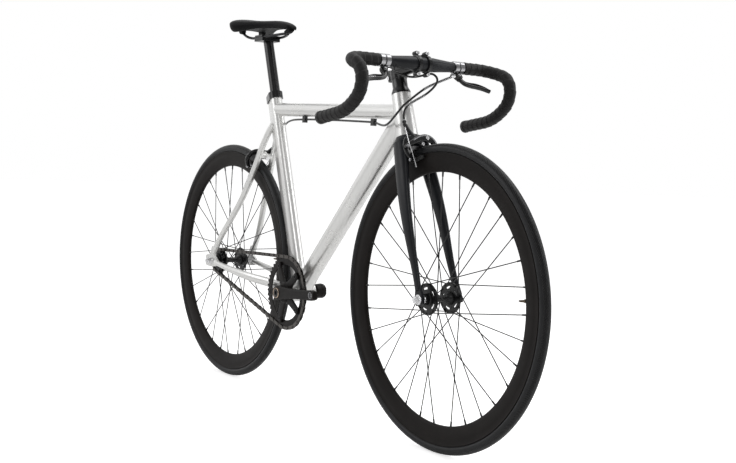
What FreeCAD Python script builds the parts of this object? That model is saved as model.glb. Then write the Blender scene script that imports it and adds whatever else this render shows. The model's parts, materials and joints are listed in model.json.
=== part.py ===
"""Fixed gear bike with an aero seat tube, drop bar, two rim brakes and deep rims.

Frame of the model: X forward, Y to the rider's left, Z up, millimetres.
The origin lies on the ground, midway between the two axles.
"""
import FreeCAD
import Part
import Sketcher
import math
import os
from types import SimpleNamespace

Vector = FreeCAD.Vector

DIMENSIONS = [
    # wheels
    ("wheelbase", 972.0),
    ("tyre_radius", 336.0),
    ("tyre_width", 25.0),
    ("tyre_wall", 2.4),
    ("bead_gap", 0.6),
    ("rim_edge_radius", 316.0),
    ("rim_depth", 42.0),
    ("rim_width", 20.0),
    ("rim_bed_width", 9.0),
    ("rim_inner_width", 14.4),
    ("rim_well_depth", 5.0),
    ("rim_wall", 2.2),
    ("brake_track_height", 13.0),
    ("valve_diameter", 6.0),
    ("valve_length", 64.0),
    ("valve_hole_gap", 0.25),
    ("valve_angle", 5.6),
    ("spoke_count", 32.0),
    ("spoke_crosses", 3.0),
    ("spoke_diameter", 2.0),
    ("spoke_seat_depth", 2.0),
    ("spoke_gap", 0.05),
    ("flange_diameter", 70.0),
    ("flange_spacing", 63.0),
    ("flange_thickness", 3.0),
    ("flange_edge", 4.0),
    ("hub_barrel_diameter", 15.0),
    ("hub_neck_diameter", 30.0),
    ("hub_end_diameter", 26.0),
    ("cog_thread_diameter", 34.8),
    ("bearing_diameter", 22.0),
    ("bearing_width", 7.0),
    ("front_hub_width", 88.0),
    ("rear_hub_width", 96.0),
    ("front_axle_diameter", 9.0),
    ("rear_axle_diameter", 10.0),
    ("front_spacing", 100.0),
    ("rear_spacing", 120.0),
    ("running_gap", 0.05),
    ("clear_gap", 0.3),
    ("locknut_diameter", 17.0),
    ("axle_nut_width", 15.0),
    ("axle_nut_height", 9.0),
    ("axle_washer_diameter", 22.0),
    ("axle_washer_height", 2.0),
    ("axle_overhang", 3.0),
    # drive
    ("chain_pitch", 12.7),
    ("chain_links", 94.0),
    ("chainring_teeth", 46.0),
    ("cog_teeth", 16.0),
    ("chain_line", 42.0),
    ("sprocket_thickness", 3.0),
    ("tooth_height", 3.6),
    ("tooth_tip_width", 2.0),
    ("roller_diameter", 7.75),
    ("roller_gap", 0.25),
    ("plate_height", 8.4),
    ("plate_thickness", 1.1),
    ("plate_gap", 0.15),
    ("chainring_rim", 9.0),
    ("bolt_circle", 144.0),
    ("chainring_bolt_diameter", 10.0),
    ("chainring_bolt_head", 13.0),
    ("spider_arm_width", 19.0),
    ("spider_thickness", 6.0),
    ("spider_boss_diameter", 52.0),
    ("cog_hub_diameter", 46.0),
    ("cog_hub_width", 6.6),
    ("lockring_diameter", 42.0),
    ("lockring_width", 3.4),
    ("bb_drop", 50.0),
    ("bb_shell_diameter", 50.0),
    ("bb_shell_width", 68.0),
    ("bb_bore_diameter", 35.0),
    ("bb_cup_flange", 43.0),
    ("bb_cup_lip", 3.0),
    ("spindle_diameter", 17.0),
    ("spindle_length", 124.0),
    ("crank_length", 165.0),
    ("crank_rise_angle", 4.0),
    ("crank_boss_diameter", 38.0),
    ("crank_root_width", 31.0),
    ("crank_tip_width", 26.0),
    ("crank_thickness", 13.0),
    ("crank_outer_face", 71.0),
    ("crank_boss_inner", 45.5),
    ("pedal_thread_diameter", 13.7),
    ("crank_cap_diameter", 24.0),
    ("crank_cap_height", 3.0),
    # frame
    ("head_angle", 74.0),
    ("fork_length", 374.0),
    ("fork_rake", 32.0),
    ("head_tube_length", 100.0),
    ("head_tube_top", 44.0),
    ("head_tube_base", 51.0),
    ("head_tube_bore", 37.0),
    ("headset_diameter", 41.8),
    ("headset_height", 7.0),
    ("headset_gap", 0.5),
    ("cover_height", 15.0),
    ("cover_top", 35.0),
    ("steerer_diameter", 28.6),
    ("steerer_wall", 1.8),
    ("seat_angle", 72.2),
    ("post_offset", 12.0),
    ("seat_tube_length", 540.0),
    ("seat_tube_nose", 32.0),
    ("seat_tube_tail", 10.0),
    ("seat_tube_tail_offset", 35.0),
    ("seat_tube_wheel_gap", 5.0),
    ("tube_wall", 1.6),
    ("top_tube_height", 35.0),
    ("top_tube_width", 30.0),
    ("top_tube_seat_height", 766.0),
    ("top_tube_head_height", 742.5),
    ("down_tube_diameter", 48.0),
    ("down_tube_head_rise", 46.0),
    ("stay_end_diameter", 16.0),
    ("chain_stay_height", 28.0),
    ("chain_stay_width", 18.0),
    ("seat_stay_diameter", 17.0),
    ("stay_spread", 63.0),
    ("bridge_diameter", 16.0),
    ("bridge_width", 46.0),
    ("track_end_thickness", 6.0),
    ("track_end_height", 34.0),
    ("track_end_tail", 30.0),
    ("blade_top_depth", 43.0),
    ("blade_top_width", 25.0),
    ("blade_end_depth", 17.0),
    ("blade_end_width", 12.0),
    ("crown_width", 86.0),
    ("crown_depth", 52.0),
    ("crown_height", 38.0),
    ("crown_lead", 11.0),
    ("arch_gap", 7.0),
    ("arch_width", 34.0),
    ("fork_end_thickness", 6.0),
    ("fork_end_width", 24.0),
    # seat
    ("post_diameter", 27.2),
    ("post_insertion", 110.0),
    ("seat_clamp_height", 18.0),
    ("seat_clamp_wall", 3.2),
    ("seat_clamp_lap", 10.0),
    ("saddle_height", 1022.0),
    ("saddle_nose", -150.0),
    ("saddle_length", 270.0),
    ("saddle_width", 144.0),
    ("saddle_shell_thickness", 3.0),
    ("saddle_shell_gap", 1.2),
    ("rail_diameter", 7.0),
    ("rail_spread", 44.0),
    ("rail_height", 963.0),
    ("cradle_length", 44.0),
    ("cradle_height", 10.0),
    ("upper_clamp_height", 5.0),
    ("clamp_gap", 0.5),
    ("saddle_hollow", 16.0),
    # cockpit
    ("stem_length", 86.0),
    ("stem_rise_angle", 7.0),
    ("stem_height", 55.5),
    ("stem_clamp_height", 40.0),
    ("stem_clamp_diameter", 38.0),
    ("stem_tube_diameter", 31.0),
    ("stem_cap_height", 5.0),
    ("bar_clamp_diameter", 31.8),
    ("bar_clamp_wall", 4.6),
    ("bar_clamp_width", 36.0),
    ("faceplate_gap", 2.0),
    ("faceplate_band", 8.8),
    ("bar_diameter", 23.8),
    ("bar_bulge_width", 60.0),
    ("bar_taper_end", 160.0),
    ("bar_width", 408.0),
    ("bar_corner_radius", 45.0),
    ("bar_ramp_angle", 18.5),
    ("bar_shoulder_radius", 38.0),
    ("bar_hook_radius", 48.0),
    ("bar_hook_angle", 49.0),
    ("bar_sweep_radius", 134.0),
    ("bar_end_angle", 7.0),
    ("bar_end_length", 62.0),
    ("tape_start", 118.0),
    ("tape_thickness", 2.7),
    ("plug_length", 6.0),
    ("bar_wall", 2.4),
    ("pinch_ear_depth", 9.0),
    ("pinch_ear_width", 24.0),
    ("faceplate_lug", 8.0),
    ("clamp_bolt_diameter", 5.0),
    ("clamp_bolt_head", 8.5),
    ("clamp_bolt_height", 5.0),
    # brakes
    ("lever_place", 103.0),
    ("lever_drop", 18.0),
    ("lever_setback", 11.4),
    ("lever_clamp_width", 26.0),
    ("lever_band_thickness", 3.0),
    ("lever_yoke_width", 18.0),
    ("lever_yoke_depth", 15.0),
    ("lever_thickness", 8.0),
    ("lever_pin_diameter", 5.0),
    ("lever_length", 76.0),
    ("brake_reach", 49.5),
    ("brake_bolt_diameter", 6.0),
    ("brake_plate", 2.0),
    ("brake_arm_thickness", 7.0),
    ("side_pivot_aside", 17.0),
    ("side_pivot_rise", -1.0),
    ("brake_nut_width", 10.0),
    ("brake_boss_diameter", 18.0),
    ("brake_width", 82.0),
    ("front_brake_setback", 33.0),
    ("rear_brake_setback", 11.0),
    ("shoe_offset", 10.5),
    ("pad_gap", 1.5),
    ("pad_thickness", 7.0),
    ("pad_height", 9.0),
    ("pad_length", 42.0),
    ("pad_post_diameter", 6.0),
    ("barrel_diameter", 7.0),
    ("barrel_length", 16.0),
    ("barrel_aside", 33.0),
    ("barrel_rise", 24.0),
    ("anchor_aside", 41.0),
    ("anchor_drop", 22.0),
    ("cable_diameter", 5.0),
    ("guide_length", 12.0),
    ("guide_width", 9.0),
    ("guide_height", 17.0),
]


class Size:
    """A number together with the sheet expression that drives it."""

    def __init__(self, value, text):
        self.value = value
        self.text = text

    def __add__(self, other):
        return joined(self, "+", other)

    def __radd__(self, other):
        return joined(other, "+", self)

    def __sub__(self, other):
        return joined(self, "-", other)

    def __rsub__(self, other):
        return joined(other, "-", self)

    def __mul__(self, other):
        return joined(self, "*", other)

    def __rmul__(self, other):
        return joined(other, "*", self)

    def __truediv__(self, other):
        return joined(self, "/", other)

    def __neg__(self):
        return joined(-1, "*", self)

    def root(self):
        return Size(math.sqrt(self.value), "sqrt(%s)" % self.text)


def joined(first, sign, second):
    first = first if isinstance(first, Size) else Size(first, repr(first))
    second = second if isinstance(second, Size) else Size(second, repr(second))
    value = {
        "+": lambda a, b: a + b,
        "-": lambda a, b: a - b,
        "*": lambda a, b: a * b,
        "/": lambda a, b: a / b,
    }[sign](first.value, second.value)
    return Size(value, "(%s %s %s)" % (first.text, sign, second.text))


doc = FreeCAD.newDocument("fixed_gear_bike")
sheet = doc.addObject("Spreadsheet::Sheet", "Sizes")
dim = SimpleNamespace()
mm = SimpleNamespace()
for row, (alias, value) in enumerate(DIMENSIONS, 1):
    sheet.set("A%d" % row, alias)
    sheet.set("B%d" % row, str(value))
    sheet.setAlias("B%d" % row, alias)
    setattr(dim, alias, Size(value, "Sizes." + alias))
    setattr(mm, alias, value)
doc.recompute()

nodes = []


def node(label, shape_object):
    """Names a finished sub-part; its label is also its file's name."""
    shape_object.Label = label
    nodes.append(shape_object)
    return shape_object


def number(size):
    return size.value if isinstance(size, Size) else size


def bind(target, **sizes):
    """Sets each property and ties it to the sheet where its size comes from there."""
    for name, size in sizes.items():
        setattr(target, name, number(size))
        if isinstance(size, Size):
            target.setExpression(name, size.text)


def turned(origin, z_axis, x_axis):
    """A placement whose local Z and X point along the two given directions."""
    z = Vector(z_axis).normalize()
    x = Vector(x_axis)
    x = (x - z * x.dot(z)).normalize()
    y = z.cross(x)
    return FreeCAD.Placement(
        FreeCAD.Matrix(x.x, y.x, z.x, origin.x, x.y, y.y, z.y, origin.y, x.z, y.z, z.z, origin.z, 0, 0, 0, 1)
    )


def constrain(sketch, size, *where):
    """Adds a dimension to a sketch and ties it to the sheet."""
    index = sketch.addConstraint(Sketcher.Constraint(*where, number(size)))
    if isinstance(size, Size):
        sketch.setExpression("Constraints[%d]" % index, size.text)


def arc_between(start, end, radius, major):
    """The arc from start to end; a positive radius turns left, a negative one right."""
    chord = end - start
    left = Vector(-chord.y, chord.x, 0).normalize()
    rise = math.sqrt(max(radius * radius - chord.Length ** 2 / 4, 0.0))
    side = 1 if (radius > 0) != major else -1
    centre = (start + end) * 0.5 + left * rise * side
    first, last = (start, end) if radius > 0 else (end, start)
    angles = [math.atan2(p.y - centre.y, p.x - centre.x) for p in (first, last)]
    if angles[1] <= angles[0]:
        angles[1] += 2 * math.pi
    return Part.ArcOfCircle(Part.Circle(centre, Vector(0, 0, 1), abs(radius)), *angles)


def outline(sketch, corners):
    """A closed outline through (x, y) corners; (x, y, radius) starts an arc to the next corner.

    A fourth item says that the arc is the "major" one, or "half" a circle between corners of equal x.
    """
    ends = []
    base = sketch.GeometryCount
    for index, corner in enumerate(corners):
        following = corners[(index + 1) % len(corners)]
        start = Vector(number(corner[0]), number(corner[1]), 0)
        end = Vector(number(following[0]), number(following[1]), 0)
        if len(corner) > 2:
            radius = number(corner[2])
            sketch.addGeometry(arc_between(start, end, radius, corner[3:] == ("major",)), False)
            ends.append((1, 2) if radius > 0 else (2, 1))
        else:
            sketch.addGeometry(Part.LineSegment(start, end), False)
            ends.append((1, 2))
    count = len(corners)
    for index in range(count):
        following = (index + 1) % count
        sketch.addConstraint(Sketcher.Constraint(
            "Coincident", base + index, ends[index][1], base + following, ends[following][0]))
    for index, corner in enumerate(corners):
        constrain(sketch, corner[0], "DistanceX", base + index, ends[index][0])
        constrain(sketch, corner[1], "DistanceY", base + index, ends[index][0])
        if corner[3:] == ("half",):
            constrain(sketch, corner[0], "DistanceX", base + index, 3)
        elif len(corner) > 2:
            radius = corner[2] if number(corner[2]) > 0 else -corner[2]
            constrain(sketch, radius, "Radius", base + index)


def round_hole(sketch, x, y, radius):
    index = sketch.addGeometry(
        Part.Circle(Vector(number(x), number(y), 0), Vector(0, 0, 1), number(radius)), False)
    constrain(sketch, x, "DistanceX", index, 3)
    constrain(sketch, y, "DistanceY", index, 3)
    constrain(sketch, radius, "Radius", index)


def sketch_on(body, name, role):
    sketch = body.newObject("Sketcher::SketchObject", name + "_sketch")
    plane = [f for f in body.Origin.OriginFeatures if f.Role == role][0]
    sketch.AttachmentSupport = [(plane, "")]
    sketch.MapMode = "FlatFace"
    return sketch


def revolved(name, placement, corners, *hollows):
    """A body of revolution about local Z from (radius, height) corners."""
    body = doc.addObject("PartDesign::Body", name)
    sketch = sketch_on(body, name, "XZ_Plane")
    for loop in (corners,) + hollows:
        outline(sketch, loop)
    turn = body.newObject("PartDesign::Revolution", name + "_turn")
    turn.Profile = sketch
    turn.ReferenceAxis = (sketch, ["V_Axis"])
    turn.Angle = 360
    body.Placement = placement
    return body


def padded(name, placement, length, corners, holes=(), loops=()):
    """A body padded along local Z from an outline in local XY, with round holes and inner loops."""
    body = doc.addObject("PartDesign::Body", name)
    sketch = sketch_on(body, name, "XY_Plane")
    outline(sketch, corners)
    for loop in loops:
        outline(sketch, loop)
    for hole in holes:
        round_hole(sketch, *hole)
    pad = body.newObject("PartDesign::Pad", name + "_pad")
    pad.Profile = sketch
    bind(pad, Length=length)
    body.Placement = placement
    return body


def cylinder(name, placement, radius, height):
    solid = doc.addObject("Part::Cylinder", name)
    bind(solid, Radius=radius, Height=height)
    solid.Placement = placement
    return solid


def cone(name, placement, base, top, height):
    solid = doc.addObject("Part::Cone", name)
    bind(solid, Radius1=base, Radius2=top, Height=height)
    solid.Placement = placement
    return solid


def block(name, placement, length, width, height):
    """A box centred on local X and Y, standing on local Z = 0."""
    solid = doc.addObject("Part::Box", name)
    bind(solid, Length=length, Width=width, Height=height)
    shift = FreeCAD.Placement(Vector(-number(length) / 2, -number(width) / 2, 0), FreeCAD.Rotation())
    solid.Placement = placement.multiply(shift)
    return solid


def hexagon(name, placement, width, height):
    """A hexagonal prism by its width across flats."""
    solid = doc.addObject("Part::Prism", name)
    solid.Polygon = 6
    bind(solid, Circumradius=width / math.sqrt(3), Height=height)
    solid.Placement = placement
    return solid


def tube_between(name, start, end, radius):
    span = end - start
    return cylinder(name, turned(start, span, Vector(0, 1, 0.001)), radius, span.Length)


def fuse(name, *solids):
    joint = doc.addObject("Part::MultiFuse", name)
    joint.Shapes = list(solids)
    return joint


def cut(name, base, *tools):
    result = doc.addObject("Part::Cut", name)
    result.Base = base
    result.Tool = tools[0] if len(tools) == 1 else fuse(name + "_tools", *tools)
    return result


def group(name, *solids):
    gathered = doc.addObject("Part::Compound", name)
    gathered.Links = list(solids)
    return gathered


def ring(name, placement, half_depth, half_width):
    """An elliptic section whose larger half axis lies along local X."""
    section = doc.addObject("Part::Ellipse", name)
    bind(section, MajorRadius=half_depth, MinorRadius=half_width)
    section.Placement = placement
    return section


def loft(name, sections):
    """A solid through elliptic sections: (centre, direction, depth axis, half depth, half width)."""
    rings = []
    for index, (centre, direction, depth_axis, depth, width) in enumerate(sections):
        place = turned(centre, direction, depth_axis)
        rings.append(ring("%s_ring_%d" % (name, index), place, depth, width))
    solid = doc.addObject("Part::Loft", name)
    solid.Sections = rings
    solid.Solid = True
    solid.Ruled = False
    return solid


def code_shape(name, shape):
    """A shape that is worked out in code, for what repeats along a path."""
    feature = doc.addObject("Part::Feature", name)
    feature.Shape = shape
    return feature


def polar(radius, angle):
    return Vector(radius * math.cos(angle), radius * math.sin(angle), 0)


# Driving points of the frame
across = Vector(0, 1, 0)
front_centre = Vector(mm.wheelbase / 2, 0, mm.tyre_radius)
rear_centre = Vector(-mm.wheelbase / 2, 0, mm.tyre_radius)
head_rad = math.radians(mm.head_angle)
head_up = Vector(-math.cos(head_rad), 0, math.sin(head_rad))
head_fore = Vector(math.sin(head_rad), 0, math.cos(head_rad))
steer_foot = front_centre - head_fore * mm.fork_rake
head_base = steer_foot + head_up * mm.fork_length
head_top = head_base + head_up * mm.head_tube_length
seat_rad = math.radians(mm.seat_angle)
seat_up = Vector(-math.cos(seat_rad), 0, math.sin(seat_rad))
seat_fore = Vector(math.sin(seat_rad), 0, math.cos(seat_rad))


# Chain run, from the sprockets and the number of links
def pitch_radius(teeth):
    return mm.chain_pitch / (2 * math.sin(math.pi / teeth))


ring_radius = pitch_radius(mm.chainring_teeth)
cog_radius = pitch_radius(mm.cog_teeth)


def chain_path(distance):
    """Lengths of the chain's four stretches: upper run, cog, lower run, chainring."""
    lean = math.asin((ring_radius - cog_radius) / distance)
    run = distance * math.cos(lean)
    return lean, [run, cog_radius * (math.pi - 2 * lean), run, ring_radius * (math.pi + 2 * lean)]


def chain_point(distance, along):
    """Point of the chain's pitch line in a plane with the chainring at the origin and the cog at -X."""
    lean, parts = chain_path(distance)
    along = along % sum(parts)
    top = math.pi / 2 + lean
    ring_top = polar(ring_radius, top)
    cog_top = polar(cog_radius, top) + Vector(-distance, 0, 0)
    if along < parts[0]:
        return ring_top + (cog_top - ring_top) * (along / parts[0])
    along -= parts[0]
    if along < parts[1]:
        return Vector(-distance, 0, 0) + polar(cog_radius, top + along / cog_radius)
    along -= parts[1]
    bottom = -top
    cog_bottom = polar(cog_radius, bottom) + Vector(-distance, 0, 0)
    ring_bottom = polar(ring_radius, bottom)
    if along < parts[2]:
        return cog_bottom + (ring_bottom - cog_bottom) * (along / parts[2])
    along -= parts[2]
    return polar(ring_radius, bottom + along / ring_radius)


def chain_pins(distance):
    """Distances along the pitch line of every pin, each one chord of a pitch from the last."""
    places = [0.0]
    for _ in range(int(mm.chain_links)):
        here = chain_point(distance, places[-1])
        low, high = places[-1], places[-1] + 1.2 * mm.chain_pitch
        for _ in range(40):
            middle = (low + high) / 2
            if (chain_point(distance, middle) - here).Length < mm.chain_pitch:
                low = middle
            else:
                high = middle
        places.append(low)
    return places


def chain_slack(distance):
    return chain_pins(distance)[-1] - sum(chain_path(distance)[1])


low, high = 0.42 * mm.chain_pitch * mm.chain_links / 2, 0.46 * mm.chain_pitch * mm.chain_links
low = max(low, ring_radius + cog_radius)
for _ in range(40):
    chain_stay = (low + high) / 2
    if chain_slack(chain_stay) > 0:
        low = chain_stay
    else:
        high = chain_stay

bb_centre = rear_centre + Vector(math.sqrt(chain_stay ** 2 - mm.bb_drop ** 2), 0, -mm.bb_drop)
chain_fore = (bb_centre - rear_centre).normalize()
chain_up = Vector(-chain_fore.z, 0, chain_fore.x)


def in_chain_plane(point):
    """A point of the chain's own plane, in the model."""
    return bb_centre + chain_fore * point.x + chain_up * point.y - across * mm.chain_line


pins = [chain_point(chain_stay, place) for place in chain_pins(chain_stay)[:-1]]


# Wheels
def wheel_place(centre):
    return turned(centre, across, Vector(1, 0, 0))


def rim(prefix, centre):
    edge = dim.rim_edge_radius
    track = edge - dim.brake_track_height
    bed = edge - dim.rim_depth
    well = edge - dim.rim_well_depth
    half = dim.rim_width / 2
    bed_half = dim.rim_bed_width / 2
    lip = dim.rim_inner_width / 2
    wall = dim.rim_wall
    outer = [(bed, -bed_half), (track, -half), (edge, -half), (well, -lip),
             (well, lip), (edge, half), (track, half), (bed, bed_half)]
    hollow = [(bed + wall, wall * 0.6 - bed_half), (well - wall, wall * 0.6 - half),
              (well - wall, half - wall * 0.6), (bed + wall, bed_half - wall * 0.6)]
    hoop = revolved(prefix + "_rim_hoop", wheel_place(centre), outer, hollow)
    hole = cylinder(prefix + "_valve_hole", valve_place(centre),
                    dim.valve_diameter / 2 + dim.valve_hole_gap, dim.rim_depth + dim.valve_length)
    return node(prefix + "_rim", cut(prefix + "_rim_cut", hoop, hole))


def valve_place(centre):
    """At the tip of the valve, pointing out to the tyre."""
    angle = math.radians(mm.valve_angle)
    outward = Vector(math.cos(angle), 0, math.sin(angle))
    tip = mm.rim_edge_radius - mm.valve_length
    return turned(centre + outward * tip, outward, across)


def tyre(prefix, centre):
    half = dim.tyre_width / 2
    middle = dim.tyre_radius - half
    well = dim.rim_edge_radius - dim.rim_well_depth + dim.bead_gap
    neck = dim.rim_edge_radius + dim.bead_gap
    neck_half = dim.rim_width / 2 - dim.clear_gap / 3
    bead = dim.rim_inner_width / 2 - dim.clear_gap
    inner = half - dim.tyre_wall
    shoulder = half * 0.52
    outer_side = [(well, -bead), (neck, -neck_half), (middle, -half), (dim.tyre_radius - 2, -shoulder)]
    far_side = [(dim.tyre_radius, 0.0), (dim.tyre_radius - 2, shoulder), (middle, half), (neck, neck_half),
                (well, bead)]
    cavity = [(well, bead - dim.tyre_wall), (middle, inner), (middle + inner, 0.0),
              (middle, -inner), (well, dim.tyre_wall - bead)]
    node(prefix + "_tyre", revolved(prefix + "_tyre_casing", wheel_place(centre),
                                    outer_side + far_side + cavity))


def inner_tube(prefix, centre):
    gap = dim.bead_gap + 0.2
    half = dim.tyre_width / 2
    middle = dim.tyre_radius - half
    inner = half - dim.tyre_wall - gap
    base = dim.rim_edge_radius - dim.rim_well_depth + dim.bead_gap + gap
    base_half = dim.rim_inner_width / 2 - dim.clear_gap - dim.tyre_wall - gap
    hoop = revolved(prefix + "_tube_hoop", wheel_place(centre),
                    [(base, -base_half), (base, base_half), (middle, inner),
                     (middle + inner, 0.0), (middle, -inner)])
    valve = cylinder(prefix + "_valve", valve_place(centre), dim.valve_diameter / 2,
                     dim.valve_length - dim.rim_well_depth + 2.0)
    node(prefix + "_tube", fuse(prefix + "_tube_fuse", hoop, valve))


def hub(prefix, centre, width, end_diameter, axle_diameter):
    """Hub shell: slim barrel, two flanges, ends with bearing seats."""
    barrel = dim.hub_barrel_diameter / 2
    neck = dim.hub_neck_diameter / 2
    flange = dim.flange_diameter / 2
    thick = dim.flange_thickness
    mid = dim.flange_spacing / 2
    end = end_diameter / 2
    bore = axle_diameter / 2 + dim.clear_gap
    seat = dim.bearing_diameter / 2
    half = width / 2
    corners = []
    for side in (-1, 1):
        run = [(bore, side * (half - dim.bearing_width)), (seat, side * (half - dim.bearing_width)),
               (seat, side * half), (end, side * half), (end, side * (mid + thick * 1.2)),
               (flange, side * (mid + thick / 2)), (flange, side * (mid - thick / 2)),
               (neck, side * (mid - thick * 1.2)), (barrel, side * (mid - neck))]
        corners += run if side < 0 else run[::-1]
    node(prefix + "_hub", revolved(prefix + "_hub_shell", wheel_place(centre), corners))


def spokes(prefix, centre):
    """Crossed spokes; on each flange every other spoke leads and runs outside the flange."""
    per_flange = int(mm.spoke_count) // 2
    step = 2 * math.pi / per_flange
    swing = 2 * math.pi * mm.spoke_crosses / per_flange
    hole_radius = mm.flange_diameter / 2 - mm.flange_edge
    rim_radius = mm.rim_edge_radius - mm.rim_depth + mm.spoke_seat_depth
    beside = mm.flange_thickness / 2 + mm.spoke_diameter / 2 + mm.spoke_gap + 0.35
    wires = []
    for side in (-1, 1):
        for index in range(per_flange):
            leads = 1 if index % 2 == 0 else -1
            hub_angle = index * step + (side > 0) * step / 2
            start = polar(hole_radius, hub_angle)
            end = polar(rim_radius, hub_angle + leads * swing)
            start.z = side * (mm.flange_spacing / 2 + leads * beside)
            end.z = side * mm.rim_bed_width / 8
            place = turned(start, end - start, Vector(0, 0, 1))
            section = Part.makePolygon([polar(mm.spoke_diameter / 2, k * math.pi / 3) for k in range(7)])
            wire = Part.Face(section).extrude(Vector(0, 0, (end - start).Length))
            wire.Placement = place
            wires.append(wire)
    laced = code_shape(prefix + "_spoke_set", Part.makeCompound(wires))
    laced.Placement = wheel_place(centre)
    node(prefix + "_spokes", laced)


def axle_set(prefix, centre, diameter, spacing, hub_width, end_thickness):
    """Axle with its locknuts in one piece, two bearings and two outer nuts: all that stays with the axle."""
    radius = diameter / 2
    grip = spacing / 2 + end_thickness
    reach = grip + dim.axle_washer_height + dim.axle_nut_height + dim.axle_overhang
    start = hub_width / 2 + dim.clear_gap
    rod = revolved(prefix + "_axle_turned", wheel_place(centre), [
        (0.0, -reach), (radius, -reach), (radius, -spacing / 2), (dim.locknut_diameter / 2, -spacing / 2),
        (dim.locknut_diameter / 2, -start), (radius, -start), (radius, start),
        (dim.locknut_diameter / 2, start), (dim.locknut_diameter / 2, spacing / 2),
        (radius, spacing / 2), (radius, reach), (0.0, reach)])
    rings = []
    nuts = []
    for side, letter in ((-1, "right"), (1, "left")):
        outward = across * side
        base = centre + outward * (number(hub_width) / 2 - mm.bearing_width)
        rings.append(revolved("%s_bearing_%s" % (prefix, letter), turned(base, outward, Vector(1, 0, 0)), [
            (radius, 0.0), (dim.bearing_diameter / 2 - dim.running_gap, 0.0),
            (dim.bearing_diameter / 2 - dim.running_gap, dim.bearing_width), (radius, dim.bearing_width)]))
        washer_at = turned(centre + outward * number(grip), outward, Vector(1, 0, 0))
        nut_at = turned(centre + outward * (number(grip) + mm.axle_washer_height), outward, Vector(1, 0, 0))
        washer = cylinder("%s_washer_%s" % (prefix, letter), washer_at,
                          dim.axle_washer_diameter / 2, dim.axle_washer_height)
        flats = hexagon("%s_nut_hex_%s" % (prefix, letter), nut_at, dim.axle_nut_width, dim.axle_nut_height)
        hole = cylinder("%s_nut_hole_%s" % (prefix, letter), washer_at, radius,
                        dim.axle_washer_height + dim.axle_nut_height)
        solid = fuse("%s_nut_body_%s" % (prefix, letter), washer, flats)
        nuts.append(cut("%s_nut_%s" % (prefix, letter), solid, hole))
    node(prefix + "_axle", group(prefix + "_axle_group", rod, *rings, *nuts))


for prefix, centre in (("front", front_centre), ("rear", rear_centre)):
    tyre(prefix, centre)
    inner_tube(prefix, centre)
    rim(prefix, centre)
    spokes(prefix, centre)
hub("front", front_centre, dim.front_hub_width, dim.hub_end_diameter, dim.front_axle_diameter)
hub("rear", rear_centre, dim.rear_hub_width, dim.cog_thread_diameter, dim.rear_axle_diameter)
axle_set("front", front_centre, dim.front_axle_diameter, dim.front_spacing, dim.front_hub_width,
         dim.fork_end_thickness)
axle_set("rear", rear_centre, dim.rear_axle_diameter, dim.rear_spacing, dim.rear_hub_width,
         dim.track_end_thickness)


# Shapes shared by several pieces
def capsule(near, far, distance):
    """Outline round a near circle at the origin and a smaller far circle at -X, joined by tangent lines."""
    slope = (far - near) / distance
    level = (1 - slope * slope).root()
    near_x, near_y = near * slope, near * level
    far_x, far_y = far * slope - distance, far * level
    return [(near_x, -near_y, near, "major"), (near_x, near_y), (far_x, far_y, far), (far_x, -far_y)]


# Drive
ring_pitch = Size(ring_radius, "(Sizes.chain_pitch / (2 * sin(180 deg / Sizes.chainring_teeth)))")
cog_pitch = Size(cog_radius, "(Sizes.chain_pitch / (2 * sin(180 deg / Sizes.cog_teeth)))")
crank_rad = math.radians(mm.crank_rise_angle)
crank_fore = Vector(math.cos(crank_rad), 0, math.sin(crank_rad))


def toothed(name, teeth, radius, centre_x, bore):
    """A sprocket in the chain's plane, turned so that the gaps between its teeth hold the chain's pins."""
    body = doc.addObject("PartDesign::Body", name)
    root = radius - dim.roller_diameter / 2 - dim.roller_gap
    disc_sketch = sketch_on(body, name + "_disc", "XY_Plane")
    round_hole(disc_sketch, 0.0, 0.0, root)
    round_hole(disc_sketch, 0.0, 0.0, bore)
    disc = body.newObject("PartDesign::Pad", name + "_disc")
    disc.Profile = disc_sketch
    bind(disc, Length=dim.sprocket_thickness)
    tooth_sketch = sketch_on(body, name + "_tooth", "XY_Plane")
    foot = (dim.chain_pitch - dim.roller_diameter) * 0.64
    tip = dim.tooth_tip_width / 2
    top = radius + dim.tooth_height
    outline(tooth_sketch, [(root - 1, -foot), (root, -foot), (top, -tip),
                           (top, tip), (root, foot), (root - 1, foot)])
    tooth = body.newObject("PartDesign::Pad", name + "_tooth")
    tooth.Profile = tooth_sketch
    bind(tooth, Length=dim.sprocket_thickness)
    pattern = body.newObject("PartDesign::PolarPattern", name + "_teeth")
    pattern.Originals = [tooth]
    pattern.Axis = (tooth_sketch, ["N_Axis"])
    pattern.Angle = 360
    pattern.Occurrences = int(number(teeth))
    pattern.setExpression("Occurrences", teeth.text)
    body.Tip = pattern
    pin = max(pins, key=lambda p: p.x) if centre_x == 0 else min(pins, key=lambda p: p.x)
    seat = math.degrees(math.atan2(pin.y, pin.x - centre_x))
    spin = FreeCAD.Rotation(Vector(0, 0, 1), seat + 180.0 / number(teeth))
    flat = turned(in_chain_plane(Vector(centre_x, 0, 0)) + across * mm.sprocket_thickness / 2, -across, chain_fore)
    body.Placement = flat.multiply(FreeCAD.Placement(Vector(), spin))
    return body


def arm_direction(index):
    """Direction of one of the spider's five arms; the first lies along the crank."""
    return FreeCAD.Rotation(across, -72.0 * index).multVec(crank_fore)


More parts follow.
